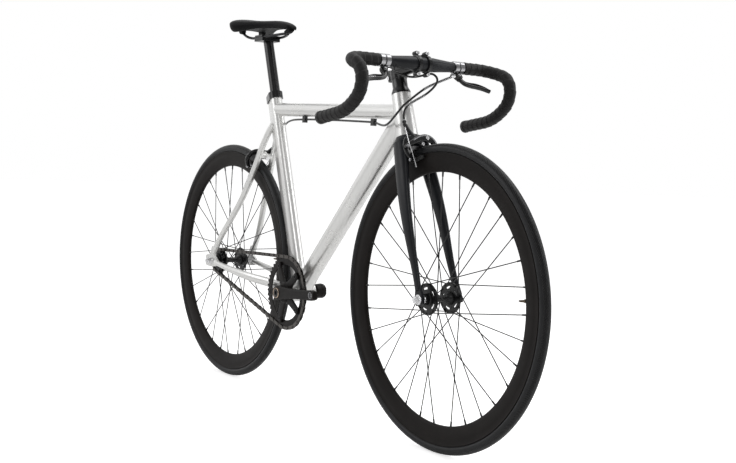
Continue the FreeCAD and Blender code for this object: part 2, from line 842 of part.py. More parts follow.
def crankset():
    inner = ring_pitch - dim.roller_diameter / 2 - dim.chainring_rim
    bolt_at = dim.bolt_circle / 2
    ring_body = toothed("chainring_teeth", dim.chainring_teeth, ring_pitch, 0, inner)
    back = bb_centre - across * (mm.chain_line - mm.sprocket_thickness / 2)
    face = bb_centre - across * (mm.chain_line + mm.sprocket_thickness / 2)
    tabs, arms, bolts, holes = [], [], [], []
    wide = dim.spider_arm_width / 2
    tip = wide * 0.8
    hole = dim.chainring_bolt_diameter / 2
    for index in range(5):
        toward = arm_direction(index)
        tabs.append(padded("chainring_tab_%d" % index, turned(back, -across, toward), dim.sprocket_thickness, [
            (inner + 2, wide), (bolt_at, tip, tip, "half"), (bolt_at, -tip), (inner + 2, -wide)]))
        arms.append(padded("spider_arm_%d" % index, turned(face, -across, toward), dim.spider_thickness, [
            (dim.spindle_diameter / 2 + 2, -wide), (bolt_at, -tip, tip, "half"), (bolt_at, tip),
            (dim.spindle_diameter / 2 + 2, wide)]))
        at = turned(back + toward * number(bolt_at), -across, toward)
        holes.append(cylinder("bolt_hole_%d" % index, at, hole, dim.sprocket_thickness + dim.spider_thickness))
        shank = cylinder("bolt_shank_%d" % index, at, hole, dim.sprocket_thickness + dim.spider_thickness)
        head_at = turned(face - across * mm.spider_thickness + toward * number(bolt_at), -across, toward)
        head = cylinder("bolt_head_%d" % index, head_at, dim.chainring_bolt_head / 2, 1.5)
        bolts.append(fuse("chainring_bolt_%d" % index, shank, head))
    bore = fuse("bolt_holes", *holes)
    node("chainring", cut("chainring_cut", fuse("chainring_fuse", ring_body, *tabs), bore))

    for side, letter in ((-1, "right"), (1, "left")):
        outward = across * side
        toward = crank_fore * -side
        start = mm.crank_outer_face - mm.crank_thickness
        arm = padded(letter + "_crank_arm", turned(bb_centre + outward * start, outward, -toward), dim.crank_thickness,
                     capsule(dim.crank_root_width / 2, dim.crank_tip_width / 2, dim.crank_length),
                     holes=[(-dim.crank_length, 0.0, dim.pedal_thread_diameter / 2)])
        boss_at = turned(bb_centre + outward * mm.crank_boss_inner, outward, toward)
        boss = cylinder(letter + "_crank_boss", boss_at, dim.crank_boss_diameter / 2,
                        dim.crank_outer_face - dim.crank_boss_inner - 1)
        solids = [arm, boss]
        if side < 0:
            disc = cylinder("spider_disc", turned(face, -across, crank_fore), dim.spider_boss_diameter / 2,
                            dim.spider_thickness)
            solids += arms + [disc]
        square = cylinder(letter + "_spindle_hole", turned(bb_centre, outward, toward),
                          dim.spindle_diameter / 2 + dim.running_gap, dim.crank_outer_face)
        tools = [square, bore] if side < 0 else [square]
        node(letter + "_crank", cut(letter + "_crank_cut", fuse(letter + "_crank_fuse", *solids), *tools))
    spindle_at = turned(bb_centre - across * mm.spindle_length / 2, across, Vector(1, 0, 0))
    node("crank_spindle", cylinder("spindle_rod", spindle_at, dim.spindle_diameter / 2, dim.spindle_length))
    for side, letter in ((-1, "right"), (1, "left")):
        outward = across * side
        cap_at = turned(bb_centre + outward * mm.crank_outer_face, outward, Vector(1, 0, 0))
        stud_at = turned(bb_centre + outward * mm.spindle_length / 2, outward, Vector(1, 0, 0))
        cap = cylinder(letter + "_crank_cap", cap_at, dim.crank_cap_diameter / 2, dim.crank_cap_height)
        stud = cylinder(letter + "_crank_stud", stud_at, dim.spindle_diameter / 2 - 1,
                        dim.crank_outer_face - dim.spindle_length / 2)
        bolts.append(fuse(letter + "_crank_bolt", cap, stud))
    node("crank_bolts", group("crank_bolt_set", *bolts))


def rear_cog():
    teeth = toothed("cog_teeth", dim.cog_teeth, cog_pitch, -chain_stay, dim.cog_thread_diameter / 2 + dim.running_gap)
    half = mm.sprocket_thickness / 2
    start = rear_centre - across * (mm.chain_line + half - mm.cog_hub_width)
    sleeve = revolved("cog_sleeve", turned(start, -across, Vector(1, 0, 0)), [
        (dim.cog_thread_diameter / 2 + dim.running_gap, 0.0), (dim.cog_hub_diameter / 2, 0.0),
        (dim.cog_hub_diameter / 2, dim.cog_hub_width), (dim.cog_thread_diameter / 2 + dim.running_gap, dim.cog_hub_width)])
    cog = fuse("cog_fuse", teeth, sleeve)
    ring_at = rear_centre - across * (mm.chain_line + half + mm.running_gap)
    lockring = revolved("lockring_body", turned(ring_at, -across, Vector(1, 0, 0)), [
        (dim.cog_thread_diameter / 2 + dim.running_gap, 0.0), (dim.lockring_diameter / 2, 0.0),
        (dim.lockring_diameter / 2, dim.lockring_width),
        (dim.cog_thread_diameter / 2 + dim.running_gap, dim.lockring_width)])
    node("rear_cog", group("cog_and_lockring", cog, lockring))


def chain():
    """Inner links, each two plates with two rollers, alternate with pairs of outer plates."""
    half = mm.chain_pitch / 2
    tall = mm.plate_height / 2
    reach = half + tall * 0.9
    shoulder = tall * 0.45

    def plate(offset):
        corners = [(-reach, -shoulder), (-half, -tall), (half, -tall), (reach, -shoulder),
                   (reach, shoulder), (half, tall), (-half, tall), (-reach, shoulder)]
        wire = Part.makePolygon([Vector(x, y, offset) for x, y in corners + corners[:1]])
        return Part.Face(wire).extrude(Vector(0, 0, mm.plate_thickness))

    inner = mm.sprocket_thickness / 2 + mm.plate_gap
    outer = inner + mm.plate_thickness + mm.plate_gap
    hexagon_at = [polar(mm.roller_diameter / 2, k * math.pi / 3) for k in range(7)]
    rollers = []
    for end in (-half, half):
        corners = [point + Vector(end, 0, -inner) for point in hexagon_at]
        rollers.append(Part.Face(Part.makePolygon(corners)).extrude(Vector(0, 0, 2 * inner)))
    inner_link = plate(inner).multiFuse([plate(-inner - mm.plate_thickness)] + rollers)
    outer_link = Part.makeCompound([plate(outer), plate(-outer - mm.plate_thickness)])
    links = []
    for index, pin in enumerate(pins):
        following = pins[(index + 1) % len(pins)]
        link = (inner_link if index % 2 == 0 else outer_link).copy()
        middle = in_chain_plane((pin + following) * 0.5)
        link.Placement = turned(middle, -across, in_chain_plane(following) - in_chain_plane(pin))
        links += link.Solids
    node("chain", code_shape("chain_links", Part.makeCompound(links)))


crankset()
rear_cog()
chain()


# Frame tubes
head_place = turned(head_base, head_up, head_fore)
head_outer = cone("head_outer", head_place, dim.head_tube_base / 2, dim.head_tube_top / 2, dim.head_tube_length)
shell_start = turned(bb_centre - across * mm.bb_shell_width / 2, across, Vector(1, 0, 0))
shell_outer = cylinder("shell_outer", shell_start, dim.bb_shell_diameter / 2, dim.bb_shell_width)
post_foot = bb_centre + seat_fore * mm.post_offset
seat_place = turned(post_foot, seat_up, seat_fore)
seat_profile = capsule(dim.seat_tube_nose / 2, dim.seat_tube_tail / 2, dim.seat_tube_tail_offset)
seat_bore = capsule(dim.seat_tube_nose / 2 - dim.tube_wall, dim.seat_tube_tail / 2 - dim.tube_wall,
                    dim.seat_tube_tail_offset)
seat_outer = padded("seat_outer", seat_place, dim.seat_tube_length, seat_profile)
seat_top = post_foot + seat_up * mm.seat_tube_length


def on_head_axis(rise):
    return head_base + head_up * rise


def at_height(start, direction, height):
    """The point of a line at a height above the ground."""
    return start + direction * ((height - start.z) / direction.z)


down_end = on_head_axis(mm.down_tube_head_rise)
top_rear = at_height(post_foot, seat_up, mm.top_tube_seat_height)
top_front = at_height(head_base, head_up, mm.top_tube_head_height)


def frame_tubes():
    bore = cylinder("head_bore", head_place, dim.head_tube_bore / 2, dim.head_tube_length)
    seat_radius = dim.headset_diameter / 2 + dim.running_gap
    low_seat = cylinder("head_low_seat", head_place, seat_radius, dim.headset_height)
    top_seat_at = turned(head_top - head_up * mm.headset_height, head_up, head_fore)
    top_seat = cylinder("head_top_seat", top_seat_at, seat_radius, dim.headset_height)
    node("head_tube", cut("head_cut", head_outer, bore, low_seat, top_seat))

    shell_bore = cylinder("shell_bore", shell_start, dim.bb_bore_diameter / 2, dim.bb_shell_width)
    node("bottom_bracket_shell", cut("shell_cut", shell_outer, shell_bore))

    wheel_at = turned(rear_centre - across * mm.arch_width / 2, across, Vector(1, 0, 0))
    wheel_room = cylinder("seat_tube_arch", wheel_at, dim.tyre_radius + dim.seat_tube_wheel_gap, dim.arch_width)
    arch_wall = cylinder("seat_tube_arch_wall", wheel_at,
                         dim.tyre_radius + dim.seat_tube_wheel_gap + dim.tube_wall, dim.arch_width)
    hollow = cut("seat_hollow_cut", padded("seat_hollow", seat_place, dim.seat_tube_length, seat_bore), arch_wall)
    node("seat_tube", cut("seat_cut", seat_outer, hollow, shell_outer, wheel_room))

    down_outer = tube_between("down_outer", bb_centre, down_end, dim.down_tube_diameter / 2)
    down_bore = tube_between("down_bore", bb_centre, down_end, dim.down_tube_diameter / 2 - dim.tube_wall)
    node("down_tube", cut("down_cut", down_outer, down_bore, shell_outer, seat_outer, head_outer))

    along = top_front - top_rear
    tall, wide = dim.top_tube_height / 2, dim.top_tube_width / 2
    wall = dim.tube_wall
    top_outer = loft("top_outer", [(top_rear, along, Vector(0, 0, 1), tall, wide),
                                   (top_front, along, Vector(0, 0, 1), tall, wide)])
    top_bore = loft("top_bore", [(top_rear, along, Vector(0, 0, 1), tall - wall, wide - wall),
                                 (top_front, along, Vector(0, 0, 1), tall - wall, wide - wall)])
    node("top_tube", cut("top_cut", top_outer, top_bore, seat_outer, head_outer, down_outer))


def between(first, last, share):
    return first + (last - first) * share


def stay_loft(name, stations):
    """A tapered stay through (point, height, width) stations."""
    sections = []
    for index, (point, tall, wide) in enumerate(stations):
        before = stations[max(index - 1, 0)][0]
        after = stations[min(index + 1, len(stations) - 1)][0]
        sections.append((point, after - before, Vector(0, 0, 1), tall / 2, wide / 2))
    return loft(name, sections)


brake_centre_rise = mm.rim_edge_radius - mm.brake_track_height / 2 + mm.brake_reach
rear_reach = Vector(0.536, 0, 0.844).normalize()
rear_behind = Vector(-0.844, 0, 0.536).normalize()
bridge_at = rear_centre + rear_reach * brake_centre_rise


def brake_bridge(stays):
    """The tube between the seat stays with a flat boss for the rear brake."""
    half = mm.bridge_width / 2
    tube = cylinder("bridge_tube", turned(bridge_at - across * half, across, Vector(1, 0, 0)),
                    dim.bridge_diameter / 2, dim.bridge_width)
    boss = cylinder("bridge_boss", turned(bridge_at, rear_behind, across), dim.brake_boss_diameter / 2,
                    dim.rear_brake_setback)
    hole = cylinder("bridge_hole", turned(bridge_at - rear_behind * mm.bridge_diameter, rear_behind, across),
                    dim.brake_bolt_diameter / 2 + dim.running_gap, dim.bridge_diameter * 3)
    return cut("bridge_cut", fuse("bridge_fuse", tube, boss), hole, *stays)


seat_stay_top = Vector(-243, 9, 724)
seat_stay_bend = Vector(-369, 40, 501)


def rear_triangle():
    chain_stays, seat_stays, ends = [], [], []
    end_diameter = dim.stay_end_diameter
    for side, letter in ((-1, "right"), (1, "left")):
        outward = across * side
        plate_at = turned(rear_centre + across * (side * (mm.rear_spacing / 2 + mm.track_end_thickness / 2)
                                                  - mm.track_end_thickness / 2), across, Vector(1, 0, 0))
        slot = dim.rear_axle_diameter / 2 + dim.running_gap
        tall = dim.track_end_height / 2
        tail = dim.track_end_tail
        plate = padded(letter + "_track_plate", plate_at, dim.track_end_thickness, [
            (-tail, slot), (-tail, tall * 0.7), (-tail * 0.75, tall * 0.95), (8.0, tall), (36.0, tall * 0.8),
            (40.0, -4.0), (24.0, -tall * 0.8), (26.0, -tall * 2.3), (8.0, -tall * 2.5), (-4.0, -tall),
            (-tail * 0.75, -tall * 0.95), (-tail, -tall * 0.7), (-tail, -slot), (0.0, -slot, slot, "half"), (0.0, slot)])
        ends.append(plate)
        spread = {0.03: 19, 0.14: 24.5, 0.25: 27, 0.38: 42, 0.52: 55}
        stations = []
        for share, wide_at in spread.items():
            thin = 1 - share
            stations.append((between(bb_centre, rear_centre, share) + outward * wide_at,
                             end_diameter + (dim.chain_stay_height - end_diameter) * thin,
                             end_diameter * 0.95 + (dim.chain_stay_width - end_diameter) * thin))
        for share in (0.78, 0.93):
            stations.append((between(bb_centre, rear_centre, share) + outward * mm.stay_spread,
                             end_diameter, end_diameter * 0.95))
        tube = stay_loft(letter + "_chain_stay_tube", stations)
        chain_stays.append(cut(letter + "_chain_stay", tube, shell_outer, plate))
        top = Vector(seat_stay_top.x, seat_stay_top.y * side, seat_stay_top.z)
        bend = Vector(seat_stay_bend.x, seat_stay_bend.y * side, seat_stay_bend.z)
        foot = rear_centre + outward * mm.stay_spread + (Vector(bend.x, 0, bend.z) - rear_centre).normalize() * 30
        full = dim.seat_stay_diameter
        tube = stay_loft(letter + "_seat_stay_tube", [
            (top, full, full), (between(top, bend, 0.5), full, full), (bend, full, full),
            (between(bend, foot, 0.6) + outward * 4, end_diameter, end_diameter), (foot, end_diameter, end_diameter)])
        seat_stays.append(cut(letter + "_seat_stay", tube, seat_outer, plate))
    node("chain_stays", group("chain_stay_pair", *chain_stays))
    node("seat_stays", group("seat_stay_pair", *seat_stays, brake_bridge(seat_stays)))
    node("track_ends", group("track_end_pair", *ends))


def bearings_and_cups():
    rings = []
    for name, start in (("low", head_base), ("top", head_top - head_up * mm.headset_height)):
        inner = dim.steerer_diameter / 2 + dim.running_gap
        outer = dim.headset_diameter / 2
        rings.append(revolved(name + "_headset_ring", turned(start, head_up, head_fore), [
            (inner, 0.0), (outer, 0.0), (outer, dim.headset_height), (inner, dim.headset_height)]))
    node("headset_bearings", group("headset_pair", *rings))
    cups = []
    for side, letter in ((-1, "right"), (1, "left")):
        outward = across * side
        inner = dim.spindle_diameter / 2 + dim.running_gap
        outer = dim.bb_bore_diameter / 2
        face = dim.bb_shell_width / 2
        lip = face + dim.bb_cup_lip
        cups.append(revolved(letter + "_cup", turned(bb_centre, outward, Vector(1, 0, 0)), [
            (inner, face * 0.4), (outer, face * 0.4), (outer, face), (dim.bb_cup_flange / 2, face),
            (dim.bb_cup_flange / 2, lip), (inner, lip)]))
    node("bottom_bracket", group("cup_pair", *cups))


frame_tubes()
rear_triangle()
bearings_and_cups()


# Bent tubes and cables
def pipe_along(edges, radius):
    """A round rod along lines and tangent arcs, checked against its section times its length."""
    spine = Part.Wire(edges)
    first = edges[0]
    start = first.valueAt(first.FirstParameter)
    heading = first.tangentAt(first.FirstParameter)
    section = Part.Wire([Part.Circle(start, heading, radius).toShape()])
    rod = spine.makePipeShell([section], True, False)
    expected = math.pi * radius * radius * spine.Length
    if abs(rod.Volume / expected - 1) > 0.01:
        raise RuntimeError("a bent rod has the wrong volume")
    return rod


def rounded_route(name, points):
    """Lines through hand-chosen points, joined by arcs as large as the shorter run allows."""
    edges, radii = [], []
    last = points[0]
    for before, corner, after in zip(points, points[1:], points[2:]):
        inward = (before - corner).normalize()
        onward = (after - corner).normalize()
        turn = math.pi - inward.getAngle(onward)
        shorter = min((before - corner).Length, (after - corner).Length)
        reach = 0.45 * shorter
        radius = reach / math.tan(turn / 2)
        start, end = corner + inward * reach, corner + onward * reach
        bisector = (inward + onward).normalize()
        middle = corner + bisector * (radius / math.cos(turn / 2) - radius)
        edges.append(Part.LineSegment(last, start).toShape())
        edges.append(Part.Arc(start, middle, end).toShape())
        radii.append(round(radius))
        last = end
    edges.append(Part.LineSegment(last, points[-1]).toShape())
    length = sum(edge.Length for edge in edges)
    print("%s: length %.0f mm, bend radii %s" % (name, length, radii))
    return edges


# Fork and headset
race = head_base - head_up * mm.headset_gap
stem_centre = head_top + head_up * mm.stem_height
stem_rad = math.radians(mm.stem_rise_angle)
stem_fore = Vector(math.cos(stem_rad), 0, math.sin(stem_rad))
stem_up = Vector(-math.sin(stem_rad), 0, math.cos(stem_rad))
bar_centre = stem_centre + stem_fore * mm.stem_length


def below_race(drop, fore, aside):
    return race - head_up * drop + head_fore * fore + across * aside


def fork():
    half_crown = dim.crown_width / 2
    crown = loft("fork_crown", [
        (race, -head_up, across, dim.head_tube_base / 2, dim.head_tube_base / 2),
        (below_race(mm.crown_height * 0.4, mm.crown_lead * 0.4, 0), -head_up, across,
         half_crown * 0.84, dim.crown_depth / 2),
        (below_race(mm.crown_height, mm.crown_lead, 0), -head_up, across, half_crown, dim.crown_depth / 2 * 0.88)])
    steerer_length = dim.crown_height / 2 + dim.head_tube_length + dim.stem_height + dim.stem_clamp_height / 2 - 3
    steerer = cylinder("fork_steerer", turned(below_race(mm.crown_height / 2, 0, 0), head_up, head_fore),
                       dim.steerer_diameter / 2, steerer_length)
    solids = [crown, steerer]
    slot = dim.front_axle_diameter / 2 + dim.running_gap
    wide = dim.fork_end_width / 2
    drop_ends = mm.fork_length - mm.headset_gap
    for side, letter in ((-1, "right"), (1, "left")):
        shoulder_y = mm.crown_width / 2 - mm.blade_top_width / 2 - 1
        end_y = mm.front_spacing / 2 + mm.fork_end_thickness / 2 + 1
        stations = [
            (below_race(mm.crown_height * 0.45, mm.crown_lead, side * shoulder_y), dim.blade_top_depth,
             dim.blade_top_width),
            (below_race(drop_ends * 0.2, mm.crown_lead + 2, side * (shoulder_y + 7)), dim.blade_top_depth * 0.97,
             dim.blade_top_width * 0.9),
            (below_race(drop_ends * 0.37, mm.crown_lead + 6, side * (shoulder_y + 15)), dim.blade_top_depth * 0.88,
             dim.blade_top_width * 0.8),
            (below_race(drop_ends * 0.66, mm.fork_rake * 0.75, side * (end_y - 4)), dim.blade_top_depth * 0.62,
             dim.blade_top_width * 0.62),
            (below_race(drop_ends - 20, mm.fork_rake + 1, side * end_y), dim.blade_end_depth, dim.blade_end_width)]
        sections = []
        for index, (point, depth, width) in enumerate(stations):
            before = stations[max(index - 1, 0)][0]
            after = stations[min(index + 1, len(stations) - 1)][0]
            sections.append((point, after - before, head_fore, depth / 2, width / 2))
        solids.append(loft(letter + "_blade", sections))
        plate_at = turned(front_centre + across * (side * (mm.front_spacing + mm.fork_end_thickness) / 2
                                                   - mm.fork_end_thickness / 2), across, head_up)
        solids.append(padded(letter + "_fork_end", plate_at, dim.fork_end_thickness, [
            (-wide, wide), (wide * 0.7, wide), (wide * 2.6, wide * 0.6), (wide * 2.6, -wide * 0.4),
            (wide * 0.7, -wide), (-wide, -wide), (-wide, -slot), (0.0, -slot, slot, "half"), (0.0, slot),
            (-wide, slot)]))
    bore = cylinder("steerer_bore", turned(race, head_up, head_fore),
                    dim.steerer_diameter / 2 - dim.steerer_wall, steerer_length)
    arch = cylinder("tyre_arch", turned(front_centre - across * mm.arch_width / 2, across, Vector(1, 0, 0)),
                    dim.tyre_radius + dim.arch_gap, dim.arch_width)
    bolt_at = steer_foot + head_up * brake_centre_rise
    boss = cylinder("crown_boss", turned(bolt_at, head_fore, across), dim.brake_boss_diameter / 2,
                    dim.front_brake_setback)
    bolt_hole = cylinder("crown_bolt_hole", turned(bolt_at - head_fore * mm.crown_depth, head_fore, across),
                         dim.brake_bolt_diameter / 2 + dim.running_gap, dim.crown_depth * 2)
    node("fork", cut("fork_cut", fuse("fork_fuse", boss, *solids), bore, arch, bolt_hole))


def headset_cover():
    inner = dim.steerer_diameter / 2 + dim.running_gap
    base = dim.headset_gap
    top = dim.stem_height - dim.stem_clamp_height / 2
    node("headset_cover", revolved("cover_turned", turned(head_top, head_up, head_fore), [
        (inner, base), (dim.head_tube_top / 2, base), (dim.head_tube_top / 2, base + 4),
        (dim.cover_top / 2, dim.cover_height), (dim.cover_top / 2, top), (inner, top)]))


# Stem and bar
def stem():
    clamp_radius = dim.bar_clamp_diameter / 2 + dim.bar_clamp_wall
    column = cylinder("stem_column", turned(stem_centre - head_up * mm.stem_clamp_height / 2, head_up, head_fore),
                      dim.stem_clamp_diameter / 2, dim.stem_clamp_height)
    neck = cylinder("stem_neck", turned(stem_centre, stem_fore, across), dim.stem_tube_diameter / 2,
                    dim.stem_length)
    ear_at = stem_centre - head_fore * mm.stem_clamp_diameter / 2
    ear = block("stem_ear", turned(ear_at - head_up * mm.stem_clamp_height / 2, head_up, head_fore),
                dim.pinch_ear_depth * 2, dim.pinch_ear_width, dim.stem_clamp_height)
    split_at = ear_at - head_up * mm.stem_clamp_height / 2 - head_fore * 4
    split = block("stem_split", turned(split_at, head_up, head_fore), dim.pinch_ear_depth * 3, dim.faceplate_gap,
                  dim.stem_clamp_height)
    cradle = cylinder("bar_cradle", turned(bar_centre - across * mm.bar_clamp_width / 2, across, stem_fore),
                      clamp_radius, dim.bar_clamp_width)
    lug = dim.faceplate_lug
    lugs = block("stem_lugs", turned(bar_centre - stem_fore * mm.faceplate_lug, stem_fore, stem_up),
                 (clamp_radius + dim.clamp_bolt_head) * 2, dim.bar_clamp_width, lug)
    front_cut = block("stem_front_cut", turned(bar_centre - stem_fore * mm.faceplate_gap / 2, stem_fore, stem_up),
                      dim.stem_length, dim.stem_length, dim.stem_length)
    hole_at = turned(stem_centre - head_up * mm.stem_clamp_height, head_up, head_fore)
    steerer_hole = cylinder("stem_steerer_hole", hole_at, dim.steerer_diameter / 2 + dim.running_gap,
                            dim.stem_clamp_height * 2)
    bar_hole = cylinder("stem_bar_hole", turned(bar_centre - across * mm.bar_clamp_width, across, stem_fore),
                        dim.bar_clamp_diameter / 2 + dim.running_gap, dim.bar_clamp_width * 2)
    bolt_radius = dim.clamp_bolt_diameter / 2
    shanks, holes = [], []
    bolt_rise = number(clamp_radius) + mm.clamp_bolt_head / 2
    bolt_aside = mm.bar_clamp_width / 2 - mm.faceplate_band / 2
    places = []
    for rise in (-1, 1):
        for aside in (-1, 1):
            at = bar_centre + stem_up * (rise * bolt_rise) + across * (aside * bolt_aside)
            places.append((at + stem_fore * mm.faceplate_lug, -stem_fore, 2 * mm.faceplate_lug))
    for rise in (-1, 1):
        at = ear_at - head_fore * mm.pinch_ear_depth * 0.55 + head_up * (rise * mm.stem_clamp_height / 4)
        places.append((at - across * mm.pinch_ear_width / 2, across, mm.pinch_ear_width))
    for index, (at, along, length) in enumerate(places):
        place = turned(at, along, head_up if abs(along.y) > 0.5 else across)
        shank = cylinder("stem_bolt_shank_%d" % index, place, bolt_radius, length)
        head_place = turned(at - along * mm.clamp_bolt_height, along, head_up if abs(along.y) > 0.5 else across)
        head = cylinder("stem_bolt_head_%d" % index, head_place, dim.clamp_bolt_head / 2, dim.clamp_bolt_height)
        holes.append(cylinder("stem_bolt_hole_%d" % index, place, bolt_radius, length))
        shanks.append(fuse("stem_bolt_%d" % index, shank, head))
    bolt_holes = fuse("stem_bolt_holes", *holes)
    body = fuse("stem_fuse", column, neck, ear, cradle, lugs)
    node("stem", cut("stem_cut", body, front_cut, steerer_hole, bar_hole, split, bolt_holes))

    plate_ring = cylinder("plate_ring", turned(bar_centre - across * mm.bar_clamp_width / 2, across, stem_fore),
                          clamp_radius, dim.bar_clamp_width)
    plate_lugs = block("plate_lugs", turned(bar_centre, stem_fore, stem_up),
                       (clamp_radius + dim.clamp_bolt_head) * 2, dim.bar_clamp_width, lug)
    rear_cut = block("plate_rear_cut", turned(bar_centre + stem_fore * mm.faceplate_gap / 2, -stem_fore, stem_up),
                     dim.stem_length, dim.stem_length, dim.stem_length)
    window = block("plate_window", turned(bar_centre, stem_fore, stem_up), clamp_radius * 1.5,
                   dim.bar_clamp_width - dim.faceplate_band * 2, dim.stem_length)
    plate = fuse("plate_fuse", plate_ring, plate_lugs)
    node("stem_faceplate", cut("plate_cut", plate, rear_cut, bar_hole, window, bolt_holes))

    cap_at = turned(stem_centre + head_up * mm.stem_clamp_height / 2, head_up, head_fore)
    cap = cylinder("stem_cap_disc", cap_at, dim.stem_clamp_diameter / 2 - 1, dim.stem_cap_height)
    node("stem_bolts", group("stem_bolt_set", cap, *shanks))


def hook_turn(point, heading, radius, sweep):
    """An arc that bends downward in the plane of the drops; gives the edge, its end and the new heading."""
    centre = point + Vector(math.sin(heading), 0, -math.cos(heading)) * radius

    def on_arc(angle):
        return centre - Vector(math.sin(heading - angle), 0, -math.cos(heading - angle)) * radius

    return Part.Arc(point, on_arc(sweep / 2), on_arc(sweep)).toShape(), on_arc(sweep), heading - sweep


def bar_spine(side, start):
    """One side of the bar: flat top, forward corner, shoulder, hook and drop end."""
    ramp = math.radians(mm.bar_ramp_angle)
    ramp_fore = Vector(math.cos(ramp), 0, -math.sin(ramp))
    outward = across * side
    first = bar_centre + outward * start
    corner = bar_centre + outward * (mm.bar_width / 2 - mm.bar_corner_radius)
    centre = corner + ramp_fore * mm.bar_corner_radius
    lean = math.sqrt(0.5) * mm.bar_corner_radius
    bend = centre + outward * lean - ramp_fore * lean
    drop = centre + outward * mm.bar_corner_radius
    edges = [Part.LineSegment(first, corner).toShape(), Part.Arc(corner, bend, drop).toShape()]
    heading = -ramp
    point = drop
    hook = math.radians(mm.bar_hook_angle)
    shoulder = math.pi / 2 - ramp
    sweep = math.pi / 2 - hook - math.radians(mm.bar_end_angle)
    for radius, angle in ((mm.bar_shoulder_radius, shoulder), (mm.bar_hook_radius, hook),
                          (mm.bar_sweep_radius, sweep)):
        edge, point, heading = hook_turn(point, heading, radius, angle)
        edges.append(edge)
    along = Vector(math.cos(heading), 0, math.sin(heading))
    end = point + along * mm.bar_end_length
    edges.append(Part.LineSegment(point, end).toShape())
    return edges, end, along


def handlebar():
    radius = dim.bar_diameter / 2
    taper = dim.bar_taper_end / 2
    bulge = dim.bar_bulge_width / 2
    thick = dim.bar_clamp_diameter / 2
    middle = revolved("bar_middle", turned(bar_centre, across, Vector(1, 0, 0)), [
        (0.0, -taper), (radius, -taper), (thick, -bulge), (thick, bulge), (radius, taper), (0.0, taper)])
    sides, bores, tapes, plugs = [], [], [], []
    for side, letter in ((-1, "right"), (1, "left")):
        edges, end, along = bar_spine(side, mm.bar_taper_end / 2)
        sides.append(code_shape(letter + "_bar_side", pipe_along(edges, mm.bar_diameter / 2)))
        deep = mm.plug_length * 4
        stub = dim.bar_diameter / 2 - dim.bar_wall
        bores.append(cylinder(letter + "_bar_bore", turned(end - along * deep, along, across), stub, deep))
        edges, end, along = bar_spine(side, mm.tape_start)
        skin = code_shape(letter + "_tape_skin", pipe_along(edges, mm.bar_diameter / 2 + mm.tape_thickness))
        core = code_shape(letter + "_tape_core", pipe_along(edges, mm.bar_diameter / 2 + mm.running_gap))
        tapes.append(cut(letter + "_tape", skin, core))
        cap = cylinder(letter + "_plug_cap", turned(end, along, across), dim.bar_diameter / 2 + dim.tape_thickness,
                       dim.plug_length)
        rod = cylinder(letter + "_plug_rod", turned(end - along * mm.plug_length * 3, along, across),
                       stub - dim.running_gap, dim.plug_length * 3.5)
        plugs.append(fuse(letter + "_plug", cap, rod))
    node("handlebar", cut("bar_cut", fuse("bar_fuse", middle, *sides), *bores))
    node("bar_tape", group("tape_pair", *tapes))
    node("bar_plugs", group("plug_pair", *plugs))


# Brake levers
lever_axis = Vector(0.73, 0, 0.683).normalize()
lever_pull = Vector(-0.683, 0, 0.73).normalize()


def lever_pivot(side):
    return (bar_centre + across * (side * mm.lever_place) - lever_pull * mm.lever_drop
            - lever_axis * mm.lever_setback)


def levers():
    brackets = []
    pin = dim.lever_pin_diameter / 2
    for side, letter in ((-1, "right"), (1, "left")):
        outward = across * side
        axis = lever_axis * side
        at = lever_pivot(side)
        ring_at = bar_centre + outward * mm.lever_place - across * mm.lever_clamp_width / 2
        band = cylinder(letter + "_lever_band", turned(ring_at, across, stem_fore),
                        dim.bar_diameter / 2 + dim.lever_band_thickness, dim.lever_clamp_width)
        wide = dim.lever_yoke_width / 2
        drop = dim.lever_drop
        yoke_at = turned(at - axis * mm.lever_yoke_depth / 2, axis, outward)
        yoke = padded(letter + "_lever_yoke", yoke_at, dim.lever_yoke_depth, [
            (-wide, -wide * 0.6), (wide * 0.5, -wide * 0.8), (wide, 0.0), (wide, drop), (-wide, drop)])
        reach = dim.lever_thickness / 2 + dim.clear_gap
        room_at = turned(at - axis * (mm.lever_thickness / 2 + mm.clear_gap), axis, outward)
        room = block(letter + "_lever_room", room_at, dim.lever_yoke_width * 2, dim.lever_drop * 1.1, reach * 2)
        bar_gap = cylinder(letter + "_band_hole", turned(ring_at - across, across, stem_fore),
                           dim.bar_diameter / 2 + dim.running_gap, dim.lever_clamp_width + 2)
        pin_at = turned(at - axis * mm.lever_yoke_depth / 2, axis, outward)
        pin_rod = cylinder(letter + "_lever_pin", pin_at, pin, dim.lever_yoke_depth)
        shell = cut(letter + "_lever_shell", fuse(letter + "_lever_holder", band, yoke), room, bar_gap)
        brackets.append(fuse(letter + "_lever_bracket", shell, pin_rod))
        blade_at = turned(at - axis * mm.lever_thickness / 2, axis, outward)
        length = dim.lever_length
        blade = padded(letter + "_lever_blade", blade_at, dim.lever_thickness, [
            (-6.0, -4.0), (-3.0, -18.0), (6.0, -25.0), (length * 0.5, -30.0), (length * 0.77, -36.0),
            (length * 0.94, -43.0), (length, -37.0), (length * 0.84, -27.0), (length * 0.6, -22.0), (18.0, -16.0),
            (8.0, -8.0), (6.0, 3.0), (0.0, 6.0), (-6.0, 3.0)],
            holes=[(0.0, 0.0, pin + dim.running_gap)])
        node(letter + "_brake_lever", blade)
    node("lever_brackets", group("lever_bracket_pair", *brackets))


